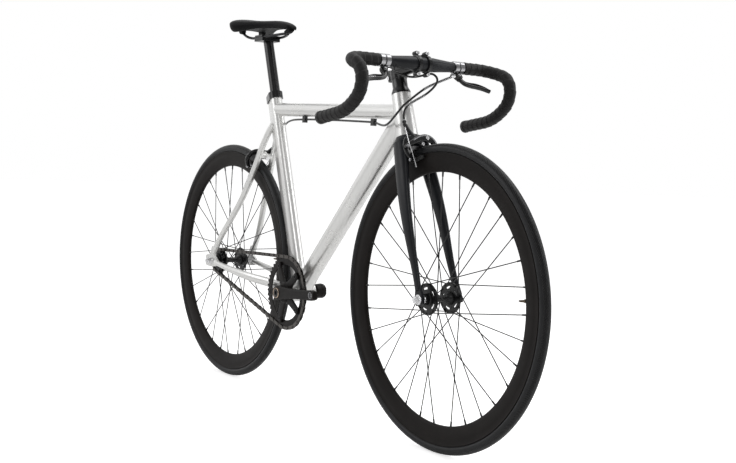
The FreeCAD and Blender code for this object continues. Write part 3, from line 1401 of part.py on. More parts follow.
# Brakes
def brake(prefix, origin, outward, aside, shoe_centre, hold):
    """A dual-pivot caliper: bolt with its bracket, two arms in separate layers and two shoes."""
    place = turned(origin, outward, aside)

    def at(x, y, z):
        return place.multVec(Vector(x, y, z))

    pin = dim.brake_bolt_diameter / 2
    plate = mm.brake_plate
    layer = mm.brake_arm_thickness
    pivot_x, pivot_y = mm.side_pivot_aside, mm.side_pivot_rise
    low_a = plate + mm.clear_gap
    low_b = low_a + layer + mm.clear_gap * 2
    top = low_b + layer
    bolt = cylinder(prefix + "_bolt_rod", turned(at(0, 0, -hold), outward, aside), pin, hold + low_a + layer)
    head = hexagon(prefix + "_bolt_nut", turned(at(0, 0, -hold), -outward, aside), dim.brake_nut_width, 5.0)
    plate_wide = mm.brake_boss_diameter / 2
    bracket = padded(prefix + "_brake_plate", place, dim.brake_plate, [
        (-plate_wide, -plate_wide * 0.6), (plate_wide * 0.6, -plate_wide * 0.9),
        (pivot_x + plate_wide * 0.8, pivot_y - plate_wide * 0.3),
        (pivot_x + plate_wide * 0.5, pivot_y + plate_wide),
        (pivot_x - plate_wide * 0.5, pivot_y + plate_wide), (-plate_wide, plate_wide * 0.6)])
    side_pin = cylinder(prefix + "_side_pin", turned(at(pivot_x, pivot_y, 0), outward, aside), pin, top + 1.0)
    node(prefix + "_brake_bolt", fuse(prefix + "_bolt_fuse", bolt, head, bracket, side_pin))

    boss = mm.brake_boss_diameter / 2
    foot_x = mm.rim_width / 2 + mm.pad_gap + mm.pad_thickness
    foot_low = -mm.brake_reach - 7
    wide = mm.brake_width / 2
    horn_x, horn_y = -mm.barrel_aside, mm.barrel_rise
    anchor_x, anchor_y = -mm.anchor_aside, -mm.anchor_drop
    outlines = {
        "inner": [(boss * 0.5, boss * 0.9), (-8, boss), (-16, boss + 4), (horn_x + 6, horn_y), (horn_x + 5, horn_y + 10),
                  (horn_x - 5, horn_y + 10), (horn_x - 5, horn_y - 2), (-29, 11), (-wide * 0.86, 4),
                  (-wide, -14), (-wide * 0.93, -32), (-foot_x - 9, foot_low), (-foot_x, foot_low),
                  (-foot_x, foot_low + 16), (-wide * 0.66, -26), (-wide * 0.62, -13), (-16, -10),
                  (-boss * 0.4, -boss), (boss * 0.7, -boss * 0.7), (boss, 0)],
        "outer": [(pivot_x - 5, pivot_y + boss + 0.5), (pivot_x + boss, pivot_y + boss - 3), (wide * 0.84, -4), (wide, -17),
                  (wide * 0.93, -32), (foot_x + 9, foot_low), (foot_x, foot_low), (foot_x, foot_low + 16),
                  (wide * 0.66, -26), (wide * 0.6, -16), (pivot_x, pivot_y - boss), (0, -7.5), (-14, -7), (-26, -12),
                  (anchor_x + 7, anchor_y + 2), (anchor_x + 5, anchor_y - 7), (anchor_x - 4, anchor_y - 7),
                  (anchor_x - 7, anchor_y), (anchor_x - 4, anchor_y + 9), (-34, -3), (-20, 5), (-6, boss)],
    }
    for name, low in (("inner", low_a), ("outer", low_b)):
        side = -1 if name == "inner" else 1
        centre = (0.0, 0.0) if name == "inner" else (dim.side_pivot_aside, dim.side_pivot_rise)
        arm = padded("%s_%s_plate" % (prefix, name), turned(at(0, 0, low), outward, aside), dim.brake_arm_thickness,
                     outlines[name], holes=[(centre[0], centre[1], pin + dim.running_gap)])
        foot_z = low + layer / 2
        foot_at = turned(at(side * (foot_x + 4.5), -mm.brake_reach, foot_z - mm.pad_post_diameter), outward, aside)
        foot = block("%s_%s_foot" % (prefix, name), foot_at, 9.0, 13.0, dim.pad_post_diameter * 2)
        sideways = place.Rotation.multVec(Vector(side, 0, 0))
        post_at = turned(at(side * foot_x, -mm.brake_reach, foot_z), sideways, outward)
        post_hole = dim.pad_post_diameter / 2 + dim.running_gap
        hole = cylinder("%s_%s_post_hole" % (prefix, name), post_at, post_hole, 20.0)
        solid = fuse("%s_%s_arm_fuse" % (prefix, name), arm, foot)
        tools = [hole]
        if name == "inner":
            barrel_at = turned(at(horn_x, horn_y, foot_z), place.Rotation.multVec(Vector(0, 1, 0)), aside)
            solid = fuse(prefix + "_barrel_fuse", solid,
                         cylinder(prefix + "_barrel", barrel_at, dim.barrel_diameter / 2, dim.barrel_length))
        node("%s_brake_%s_arm" % (prefix, name), cut("%s_%s_arm_cut" % (prefix, name), solid, *tools))

        shoe_at = turned(at(side * (foot_x - mm.pad_thickness / 2), -mm.brake_reach,
                            shoe_centre - mm.pad_length / 2), outward, aside)
        shoe = block("%s_%s_shoe" % (prefix, name), shoe_at, dim.pad_thickness, dim.pad_height, dim.pad_length)
        post = cylinder("%s_%s_post" % (prefix, name), post_at, dim.pad_post_diameter / 2, 14.0)
        node("%s_brake_%s_pad" % (prefix, name), fuse("%s_%s_pad_fuse" % (prefix, name), shoe, post))
    return place


front_brake_at = steer_foot + head_up * brake_centre_rise + head_fore * mm.front_brake_setback
rear_brake_at = rear_centre + rear_reach * brake_centre_rise + rear_behind * mm.rear_brake_setback


def cable(name, points):
    edges = rounded_route(name, points)
    return node(name, code_shape(name + "_housing", pipe_along(edges, mm.cable_diameter / 2)))


def cables(front_place, rear_place):
    """Housings from the levers: one to the front brake, one round the head tube and along the frame."""
    barrel_top = mm.barrel_rise + mm.barrel_length + mm.clear_gap
    barrel_z = mm.brake_plate + mm.clear_gap + mm.brake_arm_thickness / 2

    def above_barrel(place, extra):
        return place.multVec(Vector(-mm.barrel_aside, barrel_top + extra, barrel_z))

    def at_lever(side):
        inner = mm.lever_place - mm.lever_yoke_width / 2
        return lever_pivot(side) - across * (side * (mm.lever_place - inner)) + lever_pull * 3

    cable("front_brake_cable", [
        at_lever(-1), Vector(385, -60, 824), Vector(372, -28, 820), Vector(368, 0, 819), Vector(373, 24, 825),
        Vector(381, 42, 831), Vector(390, 51, 821), Vector(393, 48, 808), Vector(394, 33, 793), Vector(388, 18, 779.5),
        Vector(380, 1.5, 769), Vector(374, -11, 760), above_barrel(front_place, 21), above_barrel(front_place, 0)])
    stop = Vector(243, -13, 721)
    cable("rear_cable_loop", [
        at_lever(1), Vector(383, 59, 812), Vector(384, 24, 797), Vector(385, -1, 781), Vector(386, -22, 766),
        Vector(384, -40, 752), Vector(370, -47, 733), Vector(338, -44, 713), Vector(300, -33, 710),
        stop + Vector(1.4, -0.5, -0.3)])
    middle, guide = Vector(80, -12, 730), Vector(-125, -6, 737)
    cable("rear_brake_cable", [
        stop, middle, guide, Vector(-190, 10, 734), Vector(-230, 24, 728), Vector(-255, 32, 722),
        above_barrel(rear_place, 22), above_barrel(rear_place, 0)])
    guides = []
    for index, (first, last, share) in enumerate(((stop, middle, 0.0), (middle, guide, 0.75))):
        along = (last - first).normalize()
        at = first + (last - first) * share
        hole = cylinder("guide_hole_%d" % index, turned(at - along * mm.guide_length, along, across),
                        dim.cable_diameter / 2 + dim.running_gap, dim.guide_length * 3)
        body = block("guide_block_%d" % index, turned(at, along, across), dim.guide_width, dim.guide_height,
                     dim.guide_length)
        guides.append(cut("guide_%d" % index, body, hole, doc.getObject("top_outer")))
    node("cable_guides", group("guide_pair", *guides))


# Seat
cradle_x = mm.saddle_nose - mm.saddle_length * 0.563


def saddle_stations():
    """Half width, top and depth of the cushion along its length, from nose to tail."""
    shares = [(0.0, 0.17, 32, 16), (0.025, 0.25, 24, 28), (0.15, 0.28, 20, 36), (0.37, 0.36, 17, 38),
              (0.59, 0.58, 13, 38), (0.78, 0.86, 8, 38), (0.91, 1.0, 3, 38), (0.98, 0.92, 0, 32), (1.0, 0.78, 2, 22)]
    return [(mm.saddle_nose - mm.saddle_length * share, mm.saddle_width / 2 * wide, mm.saddle_height - down, depth)
            for share, wide, down, depth in shares]


def arc_edge(start, middle, end):
    return Part.Arc(start, middle, end).toShape()


def saddle():
    cover_wires, shell_wires = [], []
    tuck = 0.82
    for x, wide, top, depth in saddle_stations():
        base = top - depth
        widest = top - depth * 0.42
        hollow = base + min(mm.saddle_hollow, depth * 0.45)
        low_right, low_left = Vector(x, -wide * tuck, base), Vector(x, wide * tuck, base)
        right, left = Vector(x, -wide, widest), Vector(x, wide, widest)
        bulge = wide * 0.97
        middle = (base + widest) / 2
        cover_wires.append(Part.Wire([
            arc_edge(low_right, Vector(x, 0, hollow), low_left), arc_edge(low_left, Vector(x, bulge, middle), left),
            arc_edge(left, Vector(x, 0, top), right), arc_edge(right, Vector(x, -bulge, middle), low_right)]))
        edge = wide * tuck * 0.85
        drop = (hollow - base) * 0.85 ** 2
        gap, thick = mm.saddle_shell_gap, mm.saddle_shell_thickness
        upper = [Vector(x, -edge, hollow - drop - gap), Vector(x, 0, hollow - gap), Vector(x, edge, hollow - drop - gap)]
        lower = [point - Vector(0, 0, thick) for point in upper]
        shell_wires.append(Part.Wire([
            arc_edge(*upper), Part.LineSegment(upper[2], lower[2]).toShape(), arc_edge(*lower[::-1]),
            Part.LineSegment(lower[0], upper[0]).toShape()]))
    node("saddle_cover", code_shape("saddle_cushion", Part.makeLoft(cover_wires, True, False)))
    plate = code_shape("saddle_plate", Part.makeLoft(shell_wires[1:-1], True, False))
    front_face = mm.saddle_nose - mm.saddle_length * 0.167
    rear_face = mm.saddle_nose - mm.saddle_length * 0.87
    up = Vector(0, 0, 1)
    fore = Vector(1, 0, 0)
    nose_height = 15.0
    sockets = [block("nose_socket", turned(Vector(front_face + 8, 0, mm.rail_height - 3), up, fore), 16.0, 16.0,
                     nose_height)]
    for side, letter in ((-1, "right"), (1, "left")):
        sockets.append(block(letter + "_tail_socket", turned(
            Vector(rear_face - 7, side * mm.rail_spread * 0.68, mm.rail_height + 9), up, fore), 14.0, 14.0, 17.0))
    node("saddle_shell", fuse("saddle_shell_fuse", plate, *sockets))

    rails = []
    spread = mm.rail_spread / 2
    flat_front, flat_rear = cradle_x + 47, cradle_x - 43
    for side, letter in ((-1, "right"), (1, "left")):
        route = rounded_route(letter + " saddle rail", [
            Vector(front_face - 1.5, side * 4.4, mm.rail_height + 2.5), Vector(front_face - 26, side * spread * 0.62,
                                                                       mm.rail_height + 0.8),
            Vector(flat_front, side * spread, mm.rail_height), Vector(flat_rear, side * spread, mm.rail_height),
            Vector(flat_rear - 23, side * spread * 1.2, mm.rail_height + 6),
            Vector(rear_face + 2.5, side * spread * 1.36, mm.rail_height + 15)])
        rails.append(code_shape(letter + "_rail", pipe_along(route, mm.rail_diameter / 2)))
    node("saddle_rails", group("rail_pair", *rails))


def seatpost():
    top = at_height(post_foot, seat_up, mm.rail_height - mm.cradle_height * 0.6)
    foot = post_foot + seat_up * (mm.seat_tube_length - mm.post_insertion)
    column = cylinder("post_column", turned(foot, seat_up, seat_fore), dim.post_diameter / 2, (top - foot).Length)
    up = Vector(0, 0, 1)
    fore = Vector(1, 0, 0)
    wide = dim.rail_spread + dim.rail_diameter + 4
    centre = Vector(cradle_x, 0, mm.rail_height)
    cradle = block("post_cradle", turned(centre - up * (mm.cradle_height + mm.clamp_gap), up, fore),
                   dim.cradle_length, wide, dim.cradle_height)
    upper = block("upper_clamp", turned(centre + up * mm.clamp_gap, up, fore), dim.cradle_length - 4, wide,
                  dim.upper_clamp_height)
    grooves, bolts, holes = [], [], []
    for side, letter in ((-1, "right"), (1, "left")):
        groove_at = turned(centre + across * (side * mm.rail_spread / 2) - fore * mm.cradle_length, fore, up)
        grooves.append(cylinder(letter + "_groove", groove_at, dim.rail_diameter / 2 + dim.running_gap,
                                dim.cradle_length * 2))
    bolt_length = dim.cradle_height + dim.upper_clamp_height + dim.clamp_gap * 2
    for end, letter in ((-1, "rear"), (1, "front")):
        at = turned(centre + fore * (end * mm.cradle_length * 0.38) - up * (mm.cradle_height + mm.clamp_gap), up, fore)
        rod = cylinder(letter + "_clamp_rod", at, dim.clamp_bolt_diameter / 2, bolt_length)
        head_at = turned(at.Base + up * number(bolt_length), up, fore)
        head = cylinder(letter + "_clamp_head", head_at, dim.clamp_bolt_head / 2, 3.0)
        bolts.append(fuse(letter + "_clamp_bolt", rod, head))
        holes.append(cylinder(letter + "_clamp_hole", at, dim.clamp_bolt_diameter / 2, bolt_length))
    channel = fuse("clamp_channels", *grooves, *holes)
    node("seatpost", cut("post_cut", fuse("post_fuse", column, cradle), channel))
    node("saddle_clamp", group("saddle_clamp_set", cut("upper_clamp_cut", upper, channel), *bolts))


def seat_clamp():
    wall = dim.seat_clamp_wall
    gap = dim.running_gap
    base = turned(seat_top - seat_up * mm.seat_clamp_lap, seat_up, seat_fore)
    outer = padded("clamp_outer", base, dim.seat_clamp_height, capsule(
        dim.seat_tube_nose / 2 + wall, dim.seat_tube_tail / 2 + wall, dim.seat_tube_tail_offset))
    recess = padded("clamp_recess", base, dim.seat_clamp_lap, capsule(
        dim.seat_tube_nose / 2 + gap, dim.seat_tube_tail / 2 + gap, dim.seat_tube_tail_offset))
    hole = cylinder("clamp_post_hole", base, dim.post_diameter / 2 + gap, dim.seat_clamp_height)
    node("seat_clamp", cut("seat_clamp_cut", outer, recess, hole))


fork()
headset_cover()
stem()
handlebar()
levers()
front_hold = mm.front_brake_setback + mm.crown_depth / 2
front_place = brake("front", front_brake_at, head_fore, across, mm.shoe_offset, front_hold)
rear_place = brake("rear", rear_brake_at, rear_behind, -across, mm.shoe_offset,
                   mm.rear_brake_setback + mm.bridge_diameter / 2 + mm.clear_gap)
cables(front_place, rear_place)
saddle()
seatpost()
seat_clamp()


# Finished parts
doc.recompute()
faults = [o.Name for o in doc.Objects if "Invalid" in o.State or "Error" in o.State]
faults += [o.Label for o in nodes if o.Shape.isNull() or not o.Shape.isValid() or not o.Shape.Solids]
if faults:
    raise RuntimeError("these did not build: " + ", ".join(faults))
os.makedirs("parts", exist_ok=True)
for part in nodes:
    part.Shape.exportStep("parts/%s.step" % part.Label)
    print("%-24s %3d solids %10.0f mm3" % (part.Label, len(part.Shape.Solids), part.Shape.Volume))
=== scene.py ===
"""Looks of a fixed gear bike: wheels, wrapped bar, saddle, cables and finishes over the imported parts."""
import bpy
import json
import math
from mathutils import Matrix, Vector


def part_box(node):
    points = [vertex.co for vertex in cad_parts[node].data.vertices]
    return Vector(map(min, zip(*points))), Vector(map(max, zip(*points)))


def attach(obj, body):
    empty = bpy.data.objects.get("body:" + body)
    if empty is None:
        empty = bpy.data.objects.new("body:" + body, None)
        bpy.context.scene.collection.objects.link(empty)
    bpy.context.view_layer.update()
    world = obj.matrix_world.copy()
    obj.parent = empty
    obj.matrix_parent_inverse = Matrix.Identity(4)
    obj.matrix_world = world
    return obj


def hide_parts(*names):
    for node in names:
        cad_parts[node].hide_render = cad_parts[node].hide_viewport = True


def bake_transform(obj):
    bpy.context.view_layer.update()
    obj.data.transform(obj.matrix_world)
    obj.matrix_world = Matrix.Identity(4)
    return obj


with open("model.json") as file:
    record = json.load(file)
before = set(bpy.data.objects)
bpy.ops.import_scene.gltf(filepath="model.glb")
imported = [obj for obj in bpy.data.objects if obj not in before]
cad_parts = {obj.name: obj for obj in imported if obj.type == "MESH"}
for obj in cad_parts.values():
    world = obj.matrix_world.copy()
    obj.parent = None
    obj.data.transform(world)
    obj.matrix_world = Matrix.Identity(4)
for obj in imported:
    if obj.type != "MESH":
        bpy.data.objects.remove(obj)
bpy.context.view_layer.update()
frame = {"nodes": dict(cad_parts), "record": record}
nodes = frame["nodes"]

MM = 0.001
ACROSS = Vector((0, 1, 0))
HALF_WHEELBASE, AXLE_HEIGHT = 486.0, 336.0
FRONT = Vector((HALF_WHEELBASE, 0, AXLE_HEIGHT))
REAR = Vector((-HALF_WHEELBASE, 0, AXLE_HEIGHT))
HEAD = math.radians(74)
HEAD_UP = Vector((-math.cos(HEAD), 0, math.sin(HEAD)))
HEAD_FORE = Vector((math.sin(HEAD), 0, math.cos(HEAD)))
FORK_OFFSET, FORK_LENGTH, HEAD_LENGTH = 32.0, 374.0, 100.0
FORK_FOOT = FRONT - HEAD_FORE * FORK_OFFSET
HEAD_BASE = FORK_FOOT + HEAD_UP * FORK_LENGTH
HEAD_TOP = HEAD_BASE + HEAD_UP * HEAD_LENGTH
STEM_RISE = math.radians(7)
STEM_STACK, STEM_LENGTH = 55.5, 86.0
STEM_FORE = Vector((math.cos(STEM_RISE), 0, math.sin(STEM_RISE)))
STEM_UP = Vector((-math.sin(STEM_RISE), 0, math.cos(STEM_RISE)))
STEM = HEAD_TOP + HEAD_UP * STEM_STACK
BAR = STEM + STEM_FORE * STEM_LENGTH
BAR_HALF = 204.0
BAR_CORNER = 45.0
BAR_RAMP = math.radians(18.5)
BAR_TURNS = ((38, 71.5, 18), (48, 49, 18), (134, 34, 26))
BAR_END = 62.0
TAPE_START = 118.0
LEVER_PLACE = 103.0
BARREL_TOP, BARREL_ASIDE, BARREL_OUT = 40.3, 33.0, 5.8
LEVER_AXIS = Vector((0.73, 0, 0.683)).normalized()
LEVER_PULL = Vector((-0.683, 0, 0.73)).normalized()
LEVER_DROP, LEVER_BELOW = 18.0, 11.4
BRAKE_RISE, FRONT_BRAKE_FORE, REAR_BRAKE_BACK = 359.0, 33.0, 11.0
REAR_REACH = Vector((0.536, 0, 0.844)).normalized()
REAR_BEHIND = Vector((-0.844, 0, 0.536)).normalized()
FRONT_BRAKE = FORK_FOOT + HEAD_UP * BRAKE_RISE + HEAD_FORE * FRONT_BRAKE_FORE
REAR_BRAKE = REAR + REAR_REACH * BRAKE_RISE + REAR_BEHIND * REAR_BRAKE_BACK
SIDES = ((-1, "right"), (1, "left"))


# Materials
def feed(tree, node, inputs):
    """Sets inputs of a shader node, each to a constant or to another node's output."""
    for name, value in inputs.items():
        if isinstance(value, bpy.types.NodeSocket):
            tree.links.new(value, node.inputs[name])
        else:
            node.inputs[name].default_value = value
    return node


def add(tree, kind, inputs, **settings):
    """A new shader node with its settings and inputs."""
    node = tree.nodes.new("ShaderNode" + kind)
    for name, value in settings.items():
        setattr(node, name, value)
    return feed(tree, node, inputs)


def surface(name, colour, rough, metallic=0.0, vary=0.12, scale=40.0, grain=900.0, bump=0.03, coat=0.0,
            rough_vary=0.06, specular=0.5):
    """A finish whose colour, gloss and fine relief all vary over the surface."""
    mat = bpy.data.materials.new(name)
    mat.use_nodes = True
    tree = mat.node_tree
    where = add(tree, "TexCoord", {})

    def noise(size, detail):
        made = add(tree, "TexNoise", {"Scale": size, "Detail": detail, "Vector": where.outputs["Object"]})
        return made.outputs["Fac"]

    ramp = add(tree, "ValToRGB", {"Fac": noise(scale, 4)})
    dark, light = ramp.color_ramp.elements
    dark.position, light.position = 0.3, 0.7
    dark.color = [c * (1 - vary) for c in colour] + [1]
    light.color = [min(c * (1 + vary), 1) for c in colour] + [1]
    gloss = add(tree, "MapRange", {"Value": noise(scale * 2.3, 3), "To Min": max(rough - rough_vary, 0.02),
                                   "To Max": rough + rough_vary})
    relief = add(tree, "Bump", {"Strength": bump, "Distance": 0.0004, "Height": noise(grain, 2)})
    mat["relief"] = relief.name
    feed(tree, tree.nodes["Principled BSDF"], {
        "Base Color": ramp.outputs["Color"], "Metallic": metallic, "Roughness": gloss.outputs["Result"],
        "Normal": relief.outputs["Normal"], "Coat Weight": coat, "Coat Roughness": 0.08,
        "Specular IOR Level": specular})
    return mat


def tread_relief(mat, grooves):
    """Slanting grooves on both shoulders of a tyre, which are darker than its crown and its walls, with
    painted shade deepest at the low parts of the grooves.
    """
    tree = mat.node_tree
    shader = tree.nodes["Principled BSDF"]
    fine = tree.nodes[mat["relief"]]

    def maths(kind, first, second):
        return add(tree, "Math", {0: first, 1: second}, operation=kind).outputs["Value"]

    where = add(tree, "TexCoord", {})
    split = add(tree, "SeparateXYZ", {"Vector": where.outputs["UV"]})
    offset = maths("SUBTRACT", split.outputs["Y"], 0.5)
    from_crown = maths("MAXIMUM", offset, maths("MULTIPLY", offset, -1))
    band = add(tree, "ValToRGB", {"Fac": from_crown})
    for element, stop in zip(band.color_ramp.elements, (0.045, 0.24)):
        element.position = stop
        element.color = (0, 0, 0, 1)
    for stop in (0.06, 0.22):
        band.color_ramp.elements.new(stop).color = (1, 1, 1, 1)
    slanted = maths("ADD", split.outputs["X"], maths("MULTIPLY", from_crown, 0.03))
    turn = maths("MULTIPLY", slanted, grooves * math.tau)
    wave = maths("ADD", maths("MULTIPLY", maths("SINE", turn, 0), 0.5), 0.5)
    groove = maths("MULTIPLY", wave, band.outputs["Color"])
    relief = add(tree, "Bump", {"Strength": 1.0, "Distance": 0.0008, "Height": groove,
                                "Normal": fine.outputs["Normal"]})
    plain = shader.inputs["Base Color"].links[0].from_socket
    # Painted shade: the low parts of the grooves get the darkest colour, the raised ridges are darkened only
    # half as much.
    shade = maths("SUBTRACT", band.outputs["Color"], maths("MULTIPLY", groove, 0.5))
    darker = add(tree, "Mix", {"Factor": shade, "A": plain, "B": (0.1, 0.1, 0.11, 1)}, data_type="RGBA",
                 blend_type="MULTIPLY")
    feed(tree, shader, {"Normal": relief.outputs["Normal"], "Base Color": darker.outputs["Result"]})


polished = surface("polished_frame", (0.79, 0.79, 0.78), 0.28, metallic=0.65, vary=0.03, scale=9,
                   grain=120, bump=0.004, rough_vary=0.03, coat=0.3)
satin_black = surface("satin_black", (0.011, 0.012, 0.015), 0.32, vary=0.2, scale=30, bump=0.015,
                      specular=0.24)
gloss_black = surface("gloss_black", (0.006, 0.006, 0.007), 0.22, vary=0.2, scale=40, coat=0.25,
                      bump=0.01, specular=0.3)
rim_black = surface("rim_black", (0.0115, 0.0095, 0.0088), 0.42, vary=0.2, scale=25, bump=0.02,
                    specular=0.1)
part_black = surface("part_black", (0.008, 0.008, 0.0085), 0.3, vary=0.25, scale=60, coat=0.1,
                     bump=0.02, specular=0.3)
drive_black = surface("drive_black", (0.011, 0.0095, 0.009), 0.36, vary=0.25, scale=60, bump=0.02,
                      specular=0.12)
dark_steel = surface("dark_steel", (0.03, 0.03, 0.032), 0.34, metallic=0.8, vary=0.2, scale=80, bump=0.02)
spoke_black = surface("spoke_black", (0.006, 0.006, 0.0065), 0.32, vary=0.2, scale=80, bump=0.01,
                      specular=0.3)
bright_steel = surface("bright_steel", (0.78, 0.78, 0.79), 0.2, metallic=1.0, vary=0.08, scale=90,
                       bump=0.01)
grey_steel = surface("grey_steel", (0.36, 0.36, 0.37), 0.3, metallic=1.0, vary=0.1, scale=90, bump=0.01)
chain_steel = surface("chain_steel", (0.085, 0.079, 0.074), 0.28, metallic=0.9, vary=0.3,
                      scale=120, bump=0.02)
chrome = surface("chrome_band", (0.4, 0.4, 0.41), 0.14, metallic=1.0, vary=0.05, scale=60, bump=0.005)
bronze = surface("bronze_ring", (0.5, 0.4, 0.32), 0.26, metallic=1.0, vary=0.1, scale=90, bump=0.01)
dark_brass = surface("dark_brass", (0.1, 0.078, 0.055), 0.3, metallic=0.9, vary=0.2, scale=90, bump=0.02)
tyre_black = surface("tyre_black", (0.015, 0.0155, 0.017), 0.4, vary=0.2, scale=60, grain=1600, bump=0.08,
                     specular=0.22)
rubber = surface("rubber", (0.012, 0.012, 0.012), 0.65, vary=0.15, scale=60, bump=0.1)
plastic = surface("black_plastic", (0.014, 0.014, 0.015), 0.45, vary=0.15, scale=60, bump=0.06)
tape_black = surface("tape_black", (0.0115, 0.011, 0.011), 0.55, vary=0.25, scale=90, grain=1400, bump=0.25,
                     specular=0.25)
saddle_black = surface("saddle_black", (0.006, 0.006, 0.0068), 0.44, vary=0.2, scale=35,
                       grain=1100, bump=0.2, specular=0.08)
housing_black = surface("housing_black", (0.009, 0.009, 0.0095), 0.3, vary=0.2, scale=70, coat=0.1,
                        specular=0.35)
braid = surface("braided_sheath", (0.42, 0.42, 0.43), 0.34, metallic=0.8, vary=0.3, scale=300)

finish_of = {
    "polished_frame": polished, "black_paint": part_black, "gloss_black": gloss_black,
    "bright_steel": bright_steel, "dark_steel": dark_steel, "tyre_rubber": tyre_black, "rubber": rubber,
    "black_plastic": plastic, "bar_tape": tape_black, "saddle_skin": saddle_black,
}
special_finish = {
    "fork": satin_black, "handlebar": satin_black, "front_rim": rim_black, "rear_rim": rim_black,
    "rear_cog": dark_steel, "crank_spindle": dark_steel, "chain": chain_steel,
}


def outer_links(mesh):
    """Steel on the outer faces of the chain's plates and pins, and black on the inner links between them as
    painted shade.
    """
    mesh.materials.append(part_black)
    low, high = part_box("chain")
    middle, half = (low[1] + high[1]) / 2, (high[1] - low[1]) / 2
    plate = 0.0021
    for polygon in mesh.polygons:
        # Painted shade: faces deeper than a plate's thickness from either side of the chain are black, the
        # outer ones steel.
        polygon.material_index = int(abs(polygon.center.y - middle) < half - plate)


def dress_frame():
    """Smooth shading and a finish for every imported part."""
    for part in frame["record"]["subparts"]:
        item = nodes[part["node"]]
        mat = special_finish.get(part["node"], finish_of[part["material_slot"]])
        item.data.materials.clear()
        item.data.materials.append(mat)
        item.data.polygons.foreach_set("use_smooth", [True] * len(item.data.polygons))
        item.data.polygons.foreach_set("material_index", [0] * len(item.data.polygons))
        if part["node"] == "chain":
            outer_links(item.data)
        weld = item.modifiers.new("weld", "WELD")
        weld.merge_threshold = 0.00001
        sharpen(item, 32)


# Building pieces
def piece(name, verts, faces, body, mat, slot, uvs=None):
    """A smooth mesh piece from points in millimetres that rides on a body, if it has one."""
    mesh = bpy.data.meshes.new(name)
    mesh.from_pydata([Vector(v) * MM for v in verts], [], faces)
    mesh.polygons.foreach_set("use_smooth", [True] * len(mesh.polygons))
    if uvs:
        layer = mesh.uv_layers.new(name="UVMap")
        for polygon in mesh.polygons:
            for loop in polygon.loop_indices:
                layer.data[loop].uv = uvs(polygon.index, mesh.loops[loop].vertex_index)
    mesh.materials.append(mat)
    obj = bpy.data.objects.new(name, mesh)
    bpy.context.scene.collection.objects.link(obj)
    if body:
        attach(obj, body)
    return obj


def skin(rows, sides, capped=True):
    """Faces of a tube from its rows of points, with closed or open ends."""
    faces = []
    for row in range(rows - 1):
        for step in range(sides):
            here, after = row * sides + step, row * sides + (step + 1) % sides
            faces.append((here, after, after + sides, here + sides))
    if capped:
        faces.append(tuple(range(sides - 1, -1, -1)))
        faces.append(tuple(range((rows - 1) * sides, rows * sides)))
    return faces


def hoop_faces(segments, count, closed):
    """Faces of a section of some points, open or closed, that goes all the way round."""
    faces = []
    for step in range(segments):
        here, following = step * count, (step + 1) % segments * count
        for index in range(count if closed else count - 1):
            after = (index + 1) % count
            faces.append((here + index, here + after, following + after, following + index))
    return faces


def hoop(centre, profile, segments, closed=False):
    """Points, faces and texture places of a profile of (radius, aside) turned about a wheel's axle."""
    verts = []
    count = len(profile)
    for step in range(segments):
        angle = 2 * math.pi * step / segments
        for radius, aside in profile:
            verts.append(centre + Vector((radius * math.cos(angle), aside, radius * math.sin(angle))))

    def uvs(face, vert):
        step, index = divmod(vert, count)
        start = face // (count if closed else count - 1)
        along = 1.0 if step == 0 and start == segments - 1 else step / segments
        return along, index / (count - 1)

    return verts, hoop_faces(segments, count, closed), uvs


def round_bar(start, end, radius, sides=8, end_radius=None):
    """Points and faces of a straight closed rod, which may taper."""
    along = end - start
    last = radius if end_radius is None else end_radius
    return turned_shape(start, along, [(0, radius), (along.length, last)], sides)


def gather(shapes):
    """Joins several (points, faces) into one."""
    verts, faces = [], []
    for more, sides in shapes:
        base = len(verts)
        verts += more
        faces += [tuple(base + i for i in face) for face in sides]
    return verts, faces


def sharpen(obj, degrees):
    """Splits the edges where faces meet at more than an angle."""
    split = obj.modifiers.new("edges", "EDGE_SPLIT")
    split.split_angle = math.radians(degrees)
    return obj


def eased(value, power):
    """A value from -1 to 1 raised to a power, with its sign kept."""
    return math.copysign(abs(value) ** power, value)


def joined(name, shapes, body, mat, slot, degrees):
    """One piece with crisp edges from several (points, faces)."""
    verts, faces = gather(shapes)
    return sharpen(piece(name, verts, faces, body, mat, slot), degrees)


# Wheels
TYRE_CENTRE, TYRE_RADIUS, TYRE_STEPS = 323.5, 12.5, 40
TYRE_WRAP, WALL_START, WALL_DRAW = 128.0, 92.0, 0.26
SPOKES_PER_FLANGE, SPOKE_CROSSES, SPOKE_RADIUS = 16, 3, 1.2
FLANGE_RADIUS, FLANGE_ASIDE, SPOKE_SHIFT = 31.0, 31.5, 2.9
SPOKE_END, SPOKE_END_ASIDE, NIPPLE_LENGTH = 276.0, 1.1, 12.0
FLANGE_RINGS, FLANGE_SECTORS, FLANGE_SLOTS = (12, 18, 21.5, 26, 34, 35), 100, 5
VALVE_TURN, VALVE_TIP, VALVE_FOOT = math.radians(5.6), 252.0, 300.0
tread_relief(tyre_black, 420)


def tyre(prefix, centre):
    """A round tyre whose walls draw in above the rim's lip."""
    profile = []
    for step in range(TYRE_STEPS + 1):
        turn = -TYRE_WRAP + 2 * TYRE_WRAP * step / TYRE_STEPS
        angle = math.radians(turn)
        draw_in = 1 - WALL_DRAW * (max(abs(turn) - WALL_START, 0) / (TYRE_WRAP - WALL_START)) ** 2
        profile.append((TYRE_CENTRE + TYRE_RADIUS * math.cos(angle), TYRE_RADIUS * math.sin(angle) * draw_in))
    verts, faces, uvs = hoop(centre, profile, 240)
    obj = piece(prefix + "_tyre_skin", verts, faces, prefix + "_wheel", tyre_black, "tyre_rubber", uvs)
    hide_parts(prefix + "_tyre")


